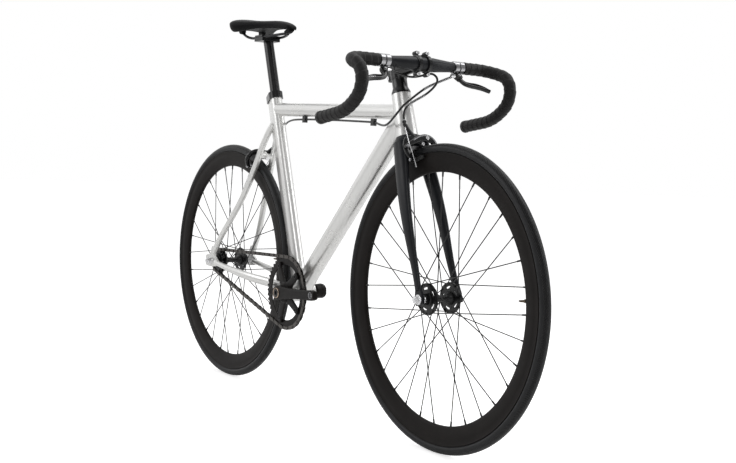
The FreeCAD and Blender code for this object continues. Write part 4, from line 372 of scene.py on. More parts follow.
def rim(prefix, centre):
    """A deep rim with a rounded lip at the tyre and walls that taper to the spokes."""
    half = [(316.6, 6.6), (317.2, 8.2), (317.0, 9.6), (316.2, 10.4), (315.2, 10.5), (314.2, 10.1),
            (313.4, 9.8), (303.6, 10.0), (298, 9.7), (291, 8.6), (284, 7.1), (278.5, 5.6), (275.6, 4.3),
            (274.3, 2.6), (274.0, 0.0)]
    profile = half + [(radius, -aside) for radius, aside in half[-2::-1]]
    verts, faces, uvs = hoop(centre, profile, 180)
    obj = piece(prefix + "_rim_skin", verts, faces, prefix + "_wheel", rim_black, "black_paint", uvs)
    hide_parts(prefix + "_rim")


def polar(radius, angle):
    """A point in the wheel's plane, from its axle."""
    return Vector((radius * math.cos(angle), 0, radius * math.sin(angle)))


def spokes(prefix, centre):
    """Thirty-two laced spokes with their nipples at the rim and heads at the flanges."""
    shapes, nipples = [], []
    pitch = 2 * math.pi / SPOKES_PER_FLANGE
    for side in (-1, 1):
        for index in range(SPOKES_PER_FLANGE):
            leads = 1 if index % 2 == 0 else -1
            at_hub = index * pitch + (side > 0) * pitch / 2
            # The wheel's own plane is turned so that its angle runs from +X towards -Z.
            start = polar(FLANGE_RADIUS, -at_hub) + ACROSS * (side * (FLANGE_ASIDE + leads * SPOKE_SHIFT))
            at_rim = at_hub + leads * SPOKE_CROSSES * pitch
            end = polar(SPOKE_END, -at_rim) + ACROSS * (side * SPOKE_END_ASIDE)
            along = (end - start).normalized()
            shapes.append(round_bar(centre + start, centre + end, SPOKE_RADIUS))
            nipples.append(round_bar(centre + end - along * NIPPLE_LENGTH, centre + end, 1.9, 8, 2.2))
            head = centre + start - ACROSS * (side * leads * SPOKE_SHIFT)
            head -= ACROSS * (side * leads * 2.4)
            shapes.append(round_bar(centre + start, head, 1.0, 6, 1.7))
    obj = joined(prefix + "_spoke_wires", shapes, prefix + "_wheel", spoke_black, "dark_steel", 40)
    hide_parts(prefix + "_spokes")
    joined(prefix + "_nipples", nipples, prefix + "_wheel", spoke_black, "dark_steel", 40)


def polar_plate(centre, low, high, radii, sectors, is_open):
    """A flat ring between two heights, made of cells by ring and sector, with the open cells left out."""
    verts, faces = [], []
    rings = len(radii)
    for aside in (low, high):
        for radius in radii:
            for step in range(sectors):
                verts.append(centre + polar(radius, 2 * math.pi * step / sectors) + ACROSS * aside)

    def at(layer, ring, step):
        return layer * rings * sectors + ring * sectors + step % sectors

    def solid(ring, step):
        return 0 <= ring < rings - 1 and not is_open(ring, step % sectors)

    for ring in range(rings - 1):
        for step in range(sectors):
            if not solid(ring, step):
                continue
            after, beyond = step + 1, ring + 1
            faces.append((at(0, ring, step), at(0, ring, after), at(0, beyond, after), at(0, beyond, step)))
            faces.append((at(1, ring, step), at(1, beyond, step), at(1, beyond, after), at(1, ring, after)))
            for ok, a, b in ((solid(ring - 1, step), (ring, step), (ring, after)),
                             (solid(beyond, step), (beyond, after), (beyond, step)),
                             (solid(ring, step - 1), (beyond, step), (ring, step)),
                             (solid(ring, after), (ring, after), (beyond, after))):
                if not ok:
                    faces.append((at(0, *a), at(1, *a), at(1, *b), at(0, *b)))
    return verts, faces


def hub(prefix, centre, end_radius, half_width):
    """A slim waisted barrel with two flanges that have slots between their rings."""
    half = [(0.0, 7.5), (14, 7.5), (18, 8.4), (23, 11.5), (26.5, 14.2), (28.6, 15.0), (33.2, 15.0),
            (34.6, end_radius), (half_width - 1, end_radius), (half_width, end_radius - 1)]
    right = [(radius, -aside) for aside, radius in half[:0:-1]]
    shapes = [hoop(centre, right + [(radius, aside) for aside, radius in half], 48)[:2]]

    def in_slot(ring, step):
        return ring == 2 and 4 < step % (FLANGE_SECTORS // FLANGE_SLOTS) < 15

    for low, high in ((-33.0, -30.0), (30.0, 33.0)):
        shapes.append(polar_plate(centre, low, high, FLANGE_RINGS, FLANGE_SECTORS, in_slot))
    obj = joined(prefix + "_hub_shell", shapes, prefix + "_wheel", part_black, "black_paint", 35)
    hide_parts(prefix + "_hub")


def valve(prefix, centre):
    """The tube's valve: stem, narrower top, pin and the nut at the rim."""
    outward = polar(1, VALVE_TURN)
    tip = centre + outward * VALVE_TIP
    shapes = [round_bar(tip + outward * 16, centre + outward * VALVE_FOOT, 3.0, 14),
              round_bar(tip + outward * 3, tip + outward * 16, 2.2, 12, 2.9),
              round_bar(tip, tip + outward * 3, 1.6, 10, 2.0),
              round_bar(centre + outward * 269, centre + outward * 273.5, 4.4, 6)]
    obj = joined(prefix + "_valve_stem", shapes, prefix + "_wheel", dark_brass, "dark_steel", 35)
    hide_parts(prefix + "_tube")


# Bar tape
def bar_points(side):
    """Points along one side of the bar, from the tape's start to the bar's end."""
    ramp_fore = Vector((math.cos(BAR_RAMP), 0, -math.sin(BAR_RAMP)))
    outward = ACROSS * side
    flat = BAR_HALF - BAR_CORNER
    points = [BAR + outward * (TAPE_START + (flat - TAPE_START) * k / 12) for k in range(12)]
    centre = BAR + outward * flat + ramp_fore * BAR_CORNER
    for k in range(17):
        turn = math.pi / 2 * k / 16
        points.append(centre + (outward * math.sin(turn) - ramp_fore * math.cos(turn)) * BAR_CORNER)
    heading = -BAR_RAMP
    for radius, degrees, count in BAR_TURNS:
        point = points[-1]
        hinge = point + Vector((math.sin(heading), 0, -math.cos(heading))) * radius
        for k in range(1, count + 1):
            turn = heading - math.radians(degrees) * k / count
            points.append(hinge - Vector((math.sin(turn), 0, -math.cos(turn))) * radius)
        heading -= math.radians(degrees)
    along = Vector((math.cos(heading), 0, math.sin(heading)))
    last = points[-1]
    points += [last + along * (BAR_END * k / 20) for k in range(1, 21)]
    return points


def swept(points, radius_at, sides, capped=False):
    """A tube along points; radius_at(length, angle) gives its radius."""
    verts = []
    length = 0.0
    tangents = []
    for index in range(len(points)):
        before, after = points[max(index - 1, 0)], points[min(index + 1, len(points) - 1)]
        tangents.append((after - before).normalized())
    side = tangents[0].orthogonal().normalized()
    for index, (point, along) in enumerate(zip(points, tangents)):
        if index:
            length += (point - points[index - 1]).length
        side = (side - along * side.dot(along)).normalized()
        other = along.cross(side)
        for step in range(sides):
            angle = 2 * math.pi * step / sides
            outward = side * math.cos(angle) + other * math.sin(angle)
            verts.append(point + outward * radius_at(length, angle))
    return verts, skin(len(points), sides, capped)


def refine(points, count):
    """Evenly spaced points along a line of points."""
    lengths = [0.0]
    for a, b in zip(points, points[1:]):
        lengths.append(lengths[-1] + (b - a).length)
    made, at = [], 0
    for k in range(count):
        want = lengths[-1] * k / (count - 1)
        while at < len(points) - 2 and lengths[at + 1] < want:
            at += 1
        share = (want - lengths[at]) / (lengths[at + 1] - lengths[at])
        made.append(points[at].lerp(points[at + 1], share))
    return made


def bar_tape():
    """Tape wound round each side; every turn laps over the one before."""
    shapes = []
    pitch, inside, lap_height, lip_share = 17.0, 11.9 + 1.45, 1.15, 0.12
    for side in (-1, 1):
        points = refine(bar_points(side), 420)

        def wound(length, angle):
            share = (length / pitch + side * angle / (2 * math.pi)) % 1.0
            lap = 1.0 - share
            lip = min(share / lip_share, 1.0)
            return inside + lap_height * lap * lip

        shapes.append(swept(points, wound, 28))
    verts, faces = gather(shapes)
    obj = piece("bar_tape_wrap", verts, faces, "steering", tape_black, "bar_tape")
    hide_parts("bar_tape")


# Saddle
SADDLE_NOSE, SADDLE_LENGTH, SADDLE_HALF, SADDLE_TOP = -163.0, 255.0, 66.0, 1022.0


def saddle():
    """A thin cushion with a drooping nose, a crowned top and deep wings, on the bosses of its rails."""
    # Share of the length from the nose, share of the half width, drop of the top and depth
    stations = [(0.0, 0.12, 43, 8), (0.015, 0.19, 38.5, 13), (0.04, 0.235, 34.5, 17), (0.09, 0.265, 29, 21),
                (0.16, 0.285, 24, 24), (0.24, 0.31, 20, 25.5), (0.34, 0.355, 17.2, 26),
                (0.44, 0.42, 15.4, 26), (0.54, 0.53, 13.4, 27), (0.63, 0.66, 11, 31), (0.72, 0.8, 8, 37),
                (0.8, 0.92, 5, 43), (0.87, 0.99, 2.4, 47), (0.93, 0.995, 0.8, 47), (0.965, 0.95, 1, 42),
                (0.985, 0.86, 3, 34), (1.0, 0.68, 8, 20)]
    ring, crown, hollow = 40, 0.42, 0.75
    verts = []
    for share, wide, down, depth in stations:
        x, half, top = SADDLE_NOSE - SADDLE_LENGTH * share, SADDLE_HALF * wide, SADDLE_TOP - down
        for step in range(ring):
            angle = 2 * math.pi * step / ring
            flat, rise = math.cos(angle), math.sin(angle)
            if rise >= 0:
                y = half * eased(flat, 0.8)
                z = top - depth * crown * (1 - rise ** 0.85)
            else:
                y = half * eased(flat, 0.45) * (1 - 0.16 * -rise)
                z = top - depth * crown - depth * 0.56 * abs(rise) ** 0.6
                if abs(flat) < hollow:
                    z += depth * 0.34 * (1 - abs(flat) / hollow) ** 0.5
            verts.append(Vector((x, y, z)))
    faces = [face[::-1] for face in skin(len(stations), ring)]
    obj = piece("saddle_cushion", verts, faces, "seat", saddle_black, "saddle_skin")
    smooth = obj.modifiers.new("smooth", "SUBSURF")
    smooth.levels = 1
    smooth.render_levels = 1
    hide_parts("saddle_cover")
    up, fore = Vector((0, 0, 1)), Vector((1, 0, 0))
    bosses = [bar_shape(Vector((-185, 0, 0)), fore, up, [
        (-13, 969, 4), (-6, 970, 6), (6, 972, 6), (14, 975, 4)], -8, 8)]
    for aside in (-31, 31):
        bosses.append(bar_shape(Vector((-388, aside, 0)), fore, up, [
            (-10, 987, 6), (-4, 986, 8), (4, 985, 8), (10, 984, 6)], -6, 6))
    obj = joined("saddle_base", bosses, "seat", saddle_black, "black_plastic", 45)
    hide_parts("saddle_shell")


# Cables
def route_line(points):
    """Points along a smooth line, a NURBS spline through the route's control points."""
    data = bpy.data.curves.new("route", "CURVE")
    data.dimensions = "3D"
    data.resolution_u = 24
    spline = data.splines.new("NURBS")
    spline.points.add(len(points) - 1)
    for spot, point in zip(spline.points, points):
        spot.co = (*Vector(point), 1)
    spline.order_u = 3
    spline.use_endpoint_u = True
    obj = bpy.data.objects.new("route", data)
    bpy.context.scene.collection.objects.link(obj)
    bpy.context.view_layer.update()
    mesh = bpy.data.meshes.new_from_object(obj.evaluated_get(bpy.context.evaluated_depsgraph_get()))
    line = [vert.co.copy() for vert in mesh.vertices]
    bpy.data.objects.remove(obj)
    bpy.data.meshes.remove(mesh)
    return line


def housing(name, body, points, ribbed=(0, 0)):
    """A cable housing along a route, with a ribbed metal sheath between two lengths."""
    radius, rib, pitch, sides = 2.5, 0.5, 4.4, 14
    line = route_line(points)
    total = sum((b - a).length for a, b in zip(line, line[1:]))
    count = int(total / 0.85)

    def on_rib(length):
        return ribbed[0] < length < ribbed[1] and length % pitch < pitch / 2

    def girth(length, angle):
        return radius + (rib if on_rib(length) else 0)

    verts, faces = swept(refine(line, count), girth, sides, True)
    obj = piece(name, verts, faces, body, housing_black, "black_plastic")
    obj.data.materials.append(braid)
    for index in range((count - 1) * sides):
        if on_rib(total * (index // sides) / (count - 1)):
            obj.data.polygons[index].material_index = 1
    return sharpen(obj, 60)


def lever_pivot(side):
    """Where a lever's blade turns, under the bar."""
    return BAR + ACROSS * (side * LEVER_PLACE) - LEVER_PULL * LEVER_DROP - LEVER_AXIS * LEVER_BELOW


def above_barrel(origin, outward, up, aside, extra):
    """A point over the barrel where a housing meets its brake."""
    return origin + aside * -BARREL_ASIDE + up * (BARREL_TOP + extra) + outward * BARREL_OUT


def at_lever(side):
    """Where a housing leaves its lever."""
    return lever_pivot(side) - ACROSS * (side * 9) + LEVER_PULL * 3


def cables():
    """Front housing on the steering, the loop between bar and frame, and the run along the frame."""
    front_top = above_barrel(FRONT_BRAKE, HEAD_FORE, HEAD_UP, ACROSS, 21)
    front_end = above_barrel(FRONT_BRAKE, HEAD_FORE, HEAD_UP, ACROSS, 0)
    rear_top = above_barrel(REAR_BRAKE, REAR_BEHIND, REAR_REACH, -ACROSS, 22)
    rear_end = above_barrel(REAR_BRAKE, REAR_BEHIND, REAR_REACH, -ACROSS, 0)
    front = housing("front_housing", None, [
        at_lever(-1), (385, -60, 824), (372, -28, 820), (368, 0, 819), (373, 24, 825), (381, 42, 831),
        (390, 51, 821), (393, 48, 808), (394, 33, 793), (388, 18, 779.5), (380, 1.5, 769), (374, -11, 760),
        front_top, front_end], (212, 262))
    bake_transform(front)
    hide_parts("front_brake_cable")
    loop_points = [at_lever(1), (383, 59, 812), (384, 24, 797), (385, -1, 781), (386, -22, 766),
                   (384, -40, 752), (370, -47, 733), (338, -44, 713), (300, -33, 710), (244.4, -13.5, 720.7)]
    loop = housing("rear_housing_loop", None, loop_points, (8, 88))
    loop_foot, loop_head = Vector(loop_points[-1]), Vector(loop_points[0])
    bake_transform(loop)
    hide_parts("rear_cable_loop")
    run = housing("rear_housing", None, [
        (243, -13, 721), (80, -12, 730), (-125, -6, 737), (-190, 10, 734), (-230, 24, 728), (-255, 32, 722),
        rear_top, rear_end])
    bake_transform(run)
    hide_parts("rear_brake_cable")


# Bars swept in a plane
def lane(points, count):
    """A smooth line through points, evenly spaced; each point may carry more numbers along."""
    made = []
    last = len(points) - 1
    for k in range(count):
        at = last * k / (count - 1)
        index = min(int(at), last - 1)
        t = at - index
        a, b = points[index], points[index + 1]
        before = points[max(index - 1, 0)]
        after = points[min(index + 2, last)]
        made.append([0.5 * (2 * q + (r - p) * t + (2 * p - 5 * q + 4 * r - w) * t * t
                            + (3 * q - p - 3 * r + w) * t ** 3)
                     for p, q, r, w in zip(before, a, b, after)])
    return made


def bar_shape(place, across, up, points, low, high, count=22, round_to=0.55, sides=16):
    """A rounded bar in a plane through (x, y, half width) points, between two heights over the plane."""
    out = across.cross(up)
    line = lane(points, count)
    middle, half_thick = (low + high) / 2, abs(high - low) / 2
    verts = []
    for index, (x, y, wide) in enumerate(line):
        before, after = line[max(index - 1, 0)], line[min(index + 1, count - 1)]
        heading = Vector((after[0] - before[0], after[1] - before[1], 0)).normalized()
        side = Vector((-heading.y, heading.x, 0))
        shrink = 0.55 if index in (0, count - 1) else 1.0
        for step in range(sides):
            angle = 2 * math.pi * step / sides
            flat = eased(math.cos(angle), round_to) * wide * shrink
            rise = eased(math.sin(angle), round_to) * half_thick * shrink
            in_plane = place + across * (x + side.x * flat) + up * (y + side.y * flat)
            verts.append(in_plane + out * (middle + rise))
    return verts, skin(count, sides)


def turned_shape(place, axis, profile, sides=28):
    """A closed turned shape from (along, radius) points along an axis."""
    axis = axis.normalized()
    side = axis.orthogonal().normalized()
    other = axis.cross(side)
    verts = []
    for along, radius in profile:
        for step in range(sides):
            angle = 2 * math.pi * step / sides
            verts.append(place + axis * along + (side * math.cos(angle) + other * math.sin(angle)) * radius)
    return verts, skin(len(profile), sides)


def socket_bolt(place, axis, radius, height):
    """A round bolt head with a dished socket."""
    return turned_shape(place, axis, [
        (-1, radius * 0.9), (0, radius * 0.9), (0, radius), (height - 0.6, radius), (height, radius - 0.6),
        (height, radius * 0.55), (height - 1.5, radius * 0.5)], 18)


# Brake levers
def lever_set():
    """Blades, clamp bands and pivot housings of both brake levers."""
    bands, housings, bolts = [], [], []
    for side, letter in SIDES:
        outward = ACROSS * side
        at = lever_pivot(side)
        centre = BAR + outward * LEVER_PLACE
        for start in (-13, 1.4):
            bands.append(turned_shape(centre + ACROSS * start, ACROSS, [
                (0, 13.2), (0.7, 14.3), (10.9, 14.3), (11.6, 13.2)], 40))
        housings.append(turned_shape(centre - ACROSS * 1.4, ACROSS, [(0, 13.0), (2.8, 13.0)], 40))
        housings.append(bar_shape(at, outward, LEVER_PULL, [
            (-7, 16, 3), (-4, 8, 7), (0, 2, 9), (2, -5, 7), (3, -9, 4)], -7.5 * side, 7.5 * side, 16))
        bolts.append(socket_bolt(at + LEVER_AXIS * 7.2, LEVER_AXIS, 3.4, 1.6))
        bolts.append(turned_shape(at - outward * 9 + LEVER_PULL * 3, -outward, [
            (-3, 4.6), (0, 4.6), (1, 4.2), (5, 4.2), (6, 3.6), (10, 3.2)], 18))
        blade = gather([
            bar_shape(at, outward, LEVER_PULL, [
                (-1, 4, 4.5), (1, -4, 5.5), (3, -13, 5.2), (9, -22, 4.4), (22, -27.5, 3.6), (40, -30.5, 3.4),
                (56, -34, 3.8), (68, -38.5, 4.4), (73.5, -40.8, 3.2)], -4.6 * side, 4.6 * side, 40, 0.75),
            bar_shape(at, outward, LEVER_PULL, [
                (5, -12, 1.8), (12, -18.5, 1.4), (24, -20.5, 1.2), (38, -21.5, 1.2), (52, -25.5, 1.2),
                (64, -32, 1.4), (70, -37.5, 1.6)], -4.0 * side, 4.0 * side, 30, 0.75)])
        # Painted highlight: a bright steel strip down the middle of the blade stands in for the pale inside
        # of its channel.
        channel_highlight = bar_shape(at, outward, LEVER_PULL, [
            (9, -18, 3), (22, -24, 4), (40, -26, 5), (54, -30, 4.4), (66, -35, 3)],
            -1.2 * side, 1.2 * side, 20, 0.6)
        piece(letter + "_lever_channel", *channel_highlight, letter + "_lever", bright_steel, "bright_steel")
        obj = piece(letter + "_lever_blade", *blade, letter + "_lever", gloss_black, "gloss_black")
        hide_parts(letter + "_brake_lever")
    obj = joined("lever_bands", bands, "steering", chrome, "gloss_black", 40)
    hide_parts("lever_brackets")
    joined("lever_housings", housings, "steering", gloss_black, "gloss_black", 50)
    joined("lever_bolts", bolts, "steering", bright_steel, "bright_steel", 40)


# Stem
def stem():
    """Stem body with a slim two-band clamp, its bolts and the top cap."""
    clamp_aside, bolt_rise, ring = 13.5, 23.2, 28
    shapes = [turned_shape(STEM - HEAD_UP * 20, HEAD_UP, [
        (0, 17.6), (1.2, 18.8), (38.8, 18.8), (40, 17.6)], 40)]
    stations = [(4, 16.5, 16.5), (20, 15.6, 16.2), (45, 14.6, 15.4), (68, 14.8, 15.6), (80, 16.4, 16.6),
                (88, 18.5, 17.5), (95, 19.5, 17.8)]
    verts = []
    for along, tall, wide in stations:
        for step in range(ring):
            angle = 2 * math.pi * step / ring
            verts.append(STEM + STEM_FORE * along + STEM_UP * (tall * math.sin(angle))
                         + ACROSS * (wide * math.cos(angle)))
    shapes.append((verts, skin(len(stations), ring)))
    bolts = []
    for side in (-1, 1):
        shapes.append(turned_shape(BAR + ACROSS * (side * clamp_aside - 4.5), ACROSS, [
            (0, 18.6), (0.9, 19.8), (8.1, 19.8), (9, 18.6)], 44))
        for rise in (-bolt_rise, bolt_rise):
            foot = BAR + ACROSS * (side * clamp_aside) + STEM_UP * rise
            shapes.append(turned_shape(foot - STEM_FORE * 8, STEM_FORE, [
                (0, 4.4), (1, 5), (12, 5), (13, 4.4)], 20))
            bolts.append(socket_bolt(foot + STEM_FORE * 5, STEM_FORE, 3.9, 4.2))
    ear = STEM - HEAD_FORE * 19
    shapes.append(bar_shape(ear, -HEAD_FORE, HEAD_UP, [
        (4, -19, 7), (4, -10, 7.4), (4, 10, 7.4), (4, 19, 7)], -11, 11, 12, 0.5))
    for rise in (-10, 10):
        bolts.append(socket_bolt(ear - HEAD_FORE * 5 + HEAD_UP * rise - ACROSS * 10.6, -ACROSS, 3.9, 3.0))
    shapes.append(turned_shape(STEM + HEAD_UP * 20, HEAD_UP, [(0, 18), (3, 18), (4.6, 16.4), (4.8, 8)], 40))
    bolts.append(socket_bolt(STEM + HEAD_UP * 24.2, HEAD_UP, 4.4, 0.8))
    obj = joined("stem_body", shapes, "steering", gloss_black, "gloss_black", 40)
    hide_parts("stem", "stem_faceplate")
    obj = joined("stem_bolt_heads", bolts, "steering", bright_steel, "bright_steel", 40)
    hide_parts("stem_bolts")


# Brakes
def caliper(prefix, origin, out, across, up, root):
    """Curved arms of a dual-pivot brake with bright edge trim, bolts, shoes and the inner wire."""
    low_in, high_in, low_out, high_out, shoe_rise = 2.3, 9.3, 9.9, 16.9, -49.5
    turn = 1 if across.cross(up).dot(out) > 0 else -1

    def at(x, y, z):
        return origin + across * x + up * y + out * z

    def bar(points, low, high, count=30, round_to=0.5):
        return bar_shape(origin, across, up, points, low * turn, high * turn, count, round_to)

    inner = [bar([(6, 2, 7), (0, 0, 8.6), (-14, 0, 8), (-27, -2, 7.2), (-36, -9, 6.4), (-39, -20, 6),
                  (-36, -34, 5.6), (-29, -47, 5.4), (-27, -53, 4.6)], low_in, high_in),
             bar([(-8, -2, 7), (-16, 5, 6), (-23, 14, 5.2), (-29, 24, 4.8), (-32.4, 32, 4.6)],
                 low_in, high_in, 18),
             turned_shape(at(-33, 27, 5.8), up, [
                 (0, 3.4), (1, 4.2), (4, 4.2), (4.6, 3.5), (7, 3.5), (7.6, 4.9), (11.6, 4.9),
                 (12.2, 3.2)], 20)]
    outer = [bar([(-42, -27, 5), (-40, -21, 5.8), (-33, -16, 6), (-23, -11, 6.2), (-11, -5.5, 6.8),
                  (2, -1.5, 7.4), (14, -0.5, 8), (25, -3, 7.6), (34, -9.5, 7), (38.6, -20, 6.4),
                  (37, -33, 5.8), (30, -46, 5.4), (27, -53, 4.6)], low_out, high_out, 44)]
    trim = bar([(-24, -8.6, 0.9), (-12, -2.4, 0.9), (1, 2.2, 0.9), (13, 3.6, 0.9), (24, 1.6, 0.9),
                (33, -4, 0.9), (40, -14, 0.9)], high_out - 0.4, high_out + 0.6, 30)
    pivots = [socket_bolt(at(17, -1, high_out - 0.5), out, 5.0, 2.2),
              socket_bolt(at(6, -14, high_in - 2), out, 4.4, 6)]
    anchor = turned_shape(at(-41, -22, high_out - 0.5), out, [(0, 4.6), (2, 4.6), (2, 3.4), (4.5, 3.4)], 6)
    barrel_cap = turned_shape(at(-33, 39.4, 5.8), up, [(0, 3.4), (1.6, 3.4), (2.2, 2.9)], 20)
    route = [at(-33, 28, 5.8), at(-37.5, -18, high_out + 1.8), at(-33, -36, high_out + 2),
             at(-26.5, -66, high_out + 1)]
    wire = [round_bar(start, end, 0.9) for start, end in zip(route, route[1:])]
    wire.append(round_bar(at(-27.6, -60, high_out + 1.2), at(-26, -70, high_out + 0.8), 1.5))
    for side, middle, name, parts, extra in (
            (-1, (low_in + high_in) / 2, "inner", inner, [barrel_cap]),
            (1, (low_out + high_out) / 2, "outer", outer, [anchor, trim])):
        # The shoe sits behind the arm's foot, along the rim, with its bolt through the foot.
        shoe = bar_shape(at(side * 15, shoe_rise, 10.5), out, up, [
            (-21, 0.6, 3.4), (-19, 0.4, 4.4), (0, 0, 4.5), (19, 0.4, 4.4), (21, 0.6, 3.4)],
            -3.4, 3.4, 18, 0.45)
        post = turned_shape(at(side * 17, shoe_rise, middle), across * side, [
            (0, 4.6), (5, 4.6), (5, 3), (13, 3)], 18)
        nut = turned_shape(at(side * 30.5, shoe_rise, middle), across * side, [
            (0, 4.6), (3.2, 4.6), (3.8, 3.6)], 6)
        body = prefix + "_" + name + "_arm"
        obj = joined("%s_%s_caliper_arm" % (prefix, name), parts, body, gloss_black, "gloss_black", 45)
        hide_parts("%s_brake_%s_arm" % (prefix, name))
        obj = joined("%s_%s_shoe" % (prefix, name), [shoe], body, rubber, "rubber", 45)
        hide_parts("%s_brake_%s_pad" % (prefix, name))
        fittings = [post, nut] + extra
        joined("%s_%s_arm_fittings" % (prefix, name), fittings, body, grey_steel, "bright_steel", 40)
    joined(prefix + "_pivot_bolts", pivots, root, bright_steel, "bright_steel", 40)
    joined(prefix + "_inner_wire", wire, prefix + "_outer_arm", bright_steel, "bright_steel", 50)


# Cranks
CRANK_CENTRE = Vector((-93.79, 0, 286))
CRANK_RISE = math.radians(4)
CRANK_FORE = Vector((math.cos(CRANK_RISE), 0, math.sin(CRANK_RISE)))
CRANK_UP = Vector((-math.sin(CRANK_RISE), 0, math.cos(CRANK_RISE)))
CRANK_LENGTH = 165.0
CRANK_FACE = 71.0
RING_TEETH, COG_TEETH, CHAIN_PITCH = 46, 16, 12.7
RING_PLANE, RING_THICK = 42.0, 3.0
SPIDER_THICK = 6.0
RING_INNER = 72.0
BOLT_CIRCLE = 72.0


def cut_hole(obj, place, axis, radius, depth):
    """Cuts a round hole through a piece."""
    verts, faces = turned_shape(place - axis * depth / 2, axis, [(0, radius), (depth, radius)], 40)
    mesh = bpy.data.meshes.new("cutter")
    mesh.from_pydata([Vector(v) * MM for v in verts], [], faces)
    cutter = bpy.data.objects.new("cutter", mesh)
    bpy.context.scene.collection.objects.link(cutter)
    hole = obj.modifiers.new("hole", "BOOLEAN")
    hole.object = cutter
    hole.operation = "DIFFERENCE"
    bpy.context.view_layer.update()
    made = bpy.data.meshes.new_from_object(obj.evaluated_get(bpy.context.evaluated_depsgraph_get()))
    obj.modifiers.remove(hole)
    obj.data = made
    bpy.data.objects.remove(cutter)
    bpy.data.meshes.remove(mesh)


def chainring():
    """A toothed ring whose gaps hold the chain's pins."""
    ring_radius = CHAIN_PITCH / 2 / math.sin(math.pi / RING_TEETH)
    cog_radius = CHAIN_PITCH / 2 / math.sin(math.pi / COG_TEETH)
    fore = CRANK_CENTRE - REAR
    lean = math.asin((ring_radius - cog_radius) / fore.length)
    fore.normalize()
    up = Vector((-fore.z, 0, fore.x))
    first_tooth = math.pi / 2 + lean + math.pi / RING_TEETH
    root, tip = ring_radius - 4.1, ring_radius + 3.4
    per_tooth = 10
    around = RING_TEETH * per_tooth
    verts = []
    for step in range(around):
        angle = first_tooth + math.tau * step / around
        toward = fore * math.cos(angle) + up * math.sin(angle)
        from_tip = abs((step / per_tooth + 0.5) % 1 - 0.5) * 2
        tooth = max(0.0, min(1.0, (0.78 - from_tip) / 0.62)) ** 0.8
        edge = root + (tip - root) * tooth
        half, thin = RING_THICK / 2, RING_THICK / 2 - 0.8 * tooth
        section = [(edge, thin), (root - 1, half), (RING_INNER + 1, half), (RING_INNER, half - 0.8),
                   (RING_INNER, 0.8 - half), (RING_INNER + 1, -half), (root - 1, -half), (edge, -thin)]
        verts += [CRANK_CENTRE + toward * radius - ACROSS * (RING_PLANE + aside) for radius, aside in section]
    faces = hoop_faces(around, len(section), True)
    obj = sharpen(piece("chainring_plate", verts, faces, "crankset", drive_black, "gloss_black"), 30)
    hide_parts("chainring")


def spider():
    """Five arms beside the crank that carry the chainring, and their bolts."""
    outward = -ACROSS
    back = RING_PLANE + RING_THICK / 2
    arms, bolts = [], []
    for index in range(5):
        angle = math.radians(36 + 72 * index)
        toward = CRANK_FORE * math.cos(angle) + CRANK_UP * math.sin(angle)
        aside = toward.cross(outward)
        turn = 1 if toward.cross(aside).dot(outward) > 0 else -1
        arms.append(bar_shape(CRANK_CENTRE, toward, aside, [
            (10, 0, 17), (24, 0, 15), (36, 0, 12), (52, 0, 10), (66, 0, 9.4), (76, 0, 9.2), (82, 0, 7)],
            back * turn, (back + SPIDER_THICK) * turn, 24, 0.4, 20))
        at = CRANK_CENTRE + toward * BOLT_CIRCLE + outward * (back + SPIDER_THICK - 0.4)
        bolts.append(socket_bolt(at, outward, 5.6, 1.6))
    arms.append(turned_shape(CRANK_CENTRE + outward * back, outward, [
        (0, 29), (5, 29), (8, 25), (14, 20), (22, 19)], 48))
    return arms, bolts


def cranks():
    """Tapered crank arms with soft edges and bright threads for the pedals."""
    arms, bolts = spider()
    for side, letter in SIDES:
        outward = ACROSS * side
        fore, up = CRANK_FORE * -side, CRANK_UP * -side
        turn = 1 if fore.cross(up).dot(outward) > 0 else -1
        low, high = (CRANK_FACE - 14) * turn, CRANK_FACE * turn
        shape = bar_shape(CRANK_CENTRE, fore, up, [
            (-19, 0, 9), (-12, 0, 16), (0, 0, 19.5), (16, 0, 18), (36, 0, 15.2), (80, 0, 12.8),
            (130, 0, 11.8), (152, 0, 12.8), (166, 0, 13), (175, 0, 11), (179, 0, 9)], low, high, 48, 0.36, 24)
        obj = piece(letter + "_crank_arm", *shape, "crankset", drive_black, "gloss_black")
        eye = CRANK_CENTRE + fore * CRANK_LENGTH + outward * (CRANK_FACE - 7)
        cut_hole(obj, eye, outward, 7.4, 40)
        sharpen(obj, 40)
        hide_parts(letter + "_crank")
        thread = [(8.2, -7.2), (8.2, 7.3), (7.2, 7.3), (6.6, 6.0), (6.6, -6.0), (7.2, -7.2)]
        insert = hoop(eye, thread, 40, True)[:2]
        joined(letter + "_pedal_thread", [insert], "crankset", grey_steel, "bright_steel", 40)
        face = CRANK_CENTRE + outward * (CRANK_FACE + 1)
        ring = [(13.2, -1.6), (13.2, 1.8), (12.9, 2.2), (12.5, 2.2), (12.2, 1.8), (12.2, -1.6)]
        collar = hoop(face, ring, 48, True)[:2]
        piece(letter + "_crank_cap_ring", *collar, "crankset", bronze, "bright_steel")
        bolts.append(turned_shape(face, outward, [
            (-2, 11.6), (0.6, 11.6), (1.2, 10.8), (1.2, 5.2), (-1.5, 4.6)], 40))
        if side > 0:
            arms = [turned_shape(CRANK_CENTRE + outward * 45.5, outward, [(0, 18), (8, 19), (16, 19)], 40)]
        joined(letter + "_crank_boss", arms, "crankset", drive_black, "gloss_black", 40)
    obj = joined("crank_fasteners", bolts, "crankset", dark_steel, "dark_steel", 40)
    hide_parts("crank_bolts")


# Stage
MIRRORED_RAYS = ("Is Glossy Ray", "Is Transmission Ray")
CAMERA_RAYS = ("Is Camera Ray",)


def seen_rays(tree, kinds):
    """One for a ray of the given kinds, and zero for any other."""
    path = add(tree, "LightPath", {})
    total = path.outputs[kinds[0]]
    for kind in kinds[1:]:
        total = add(tree, "Math", {0: total, 1: path.outputs[kind]}, operation="MAXIMUM").outputs["Value"]
    return total


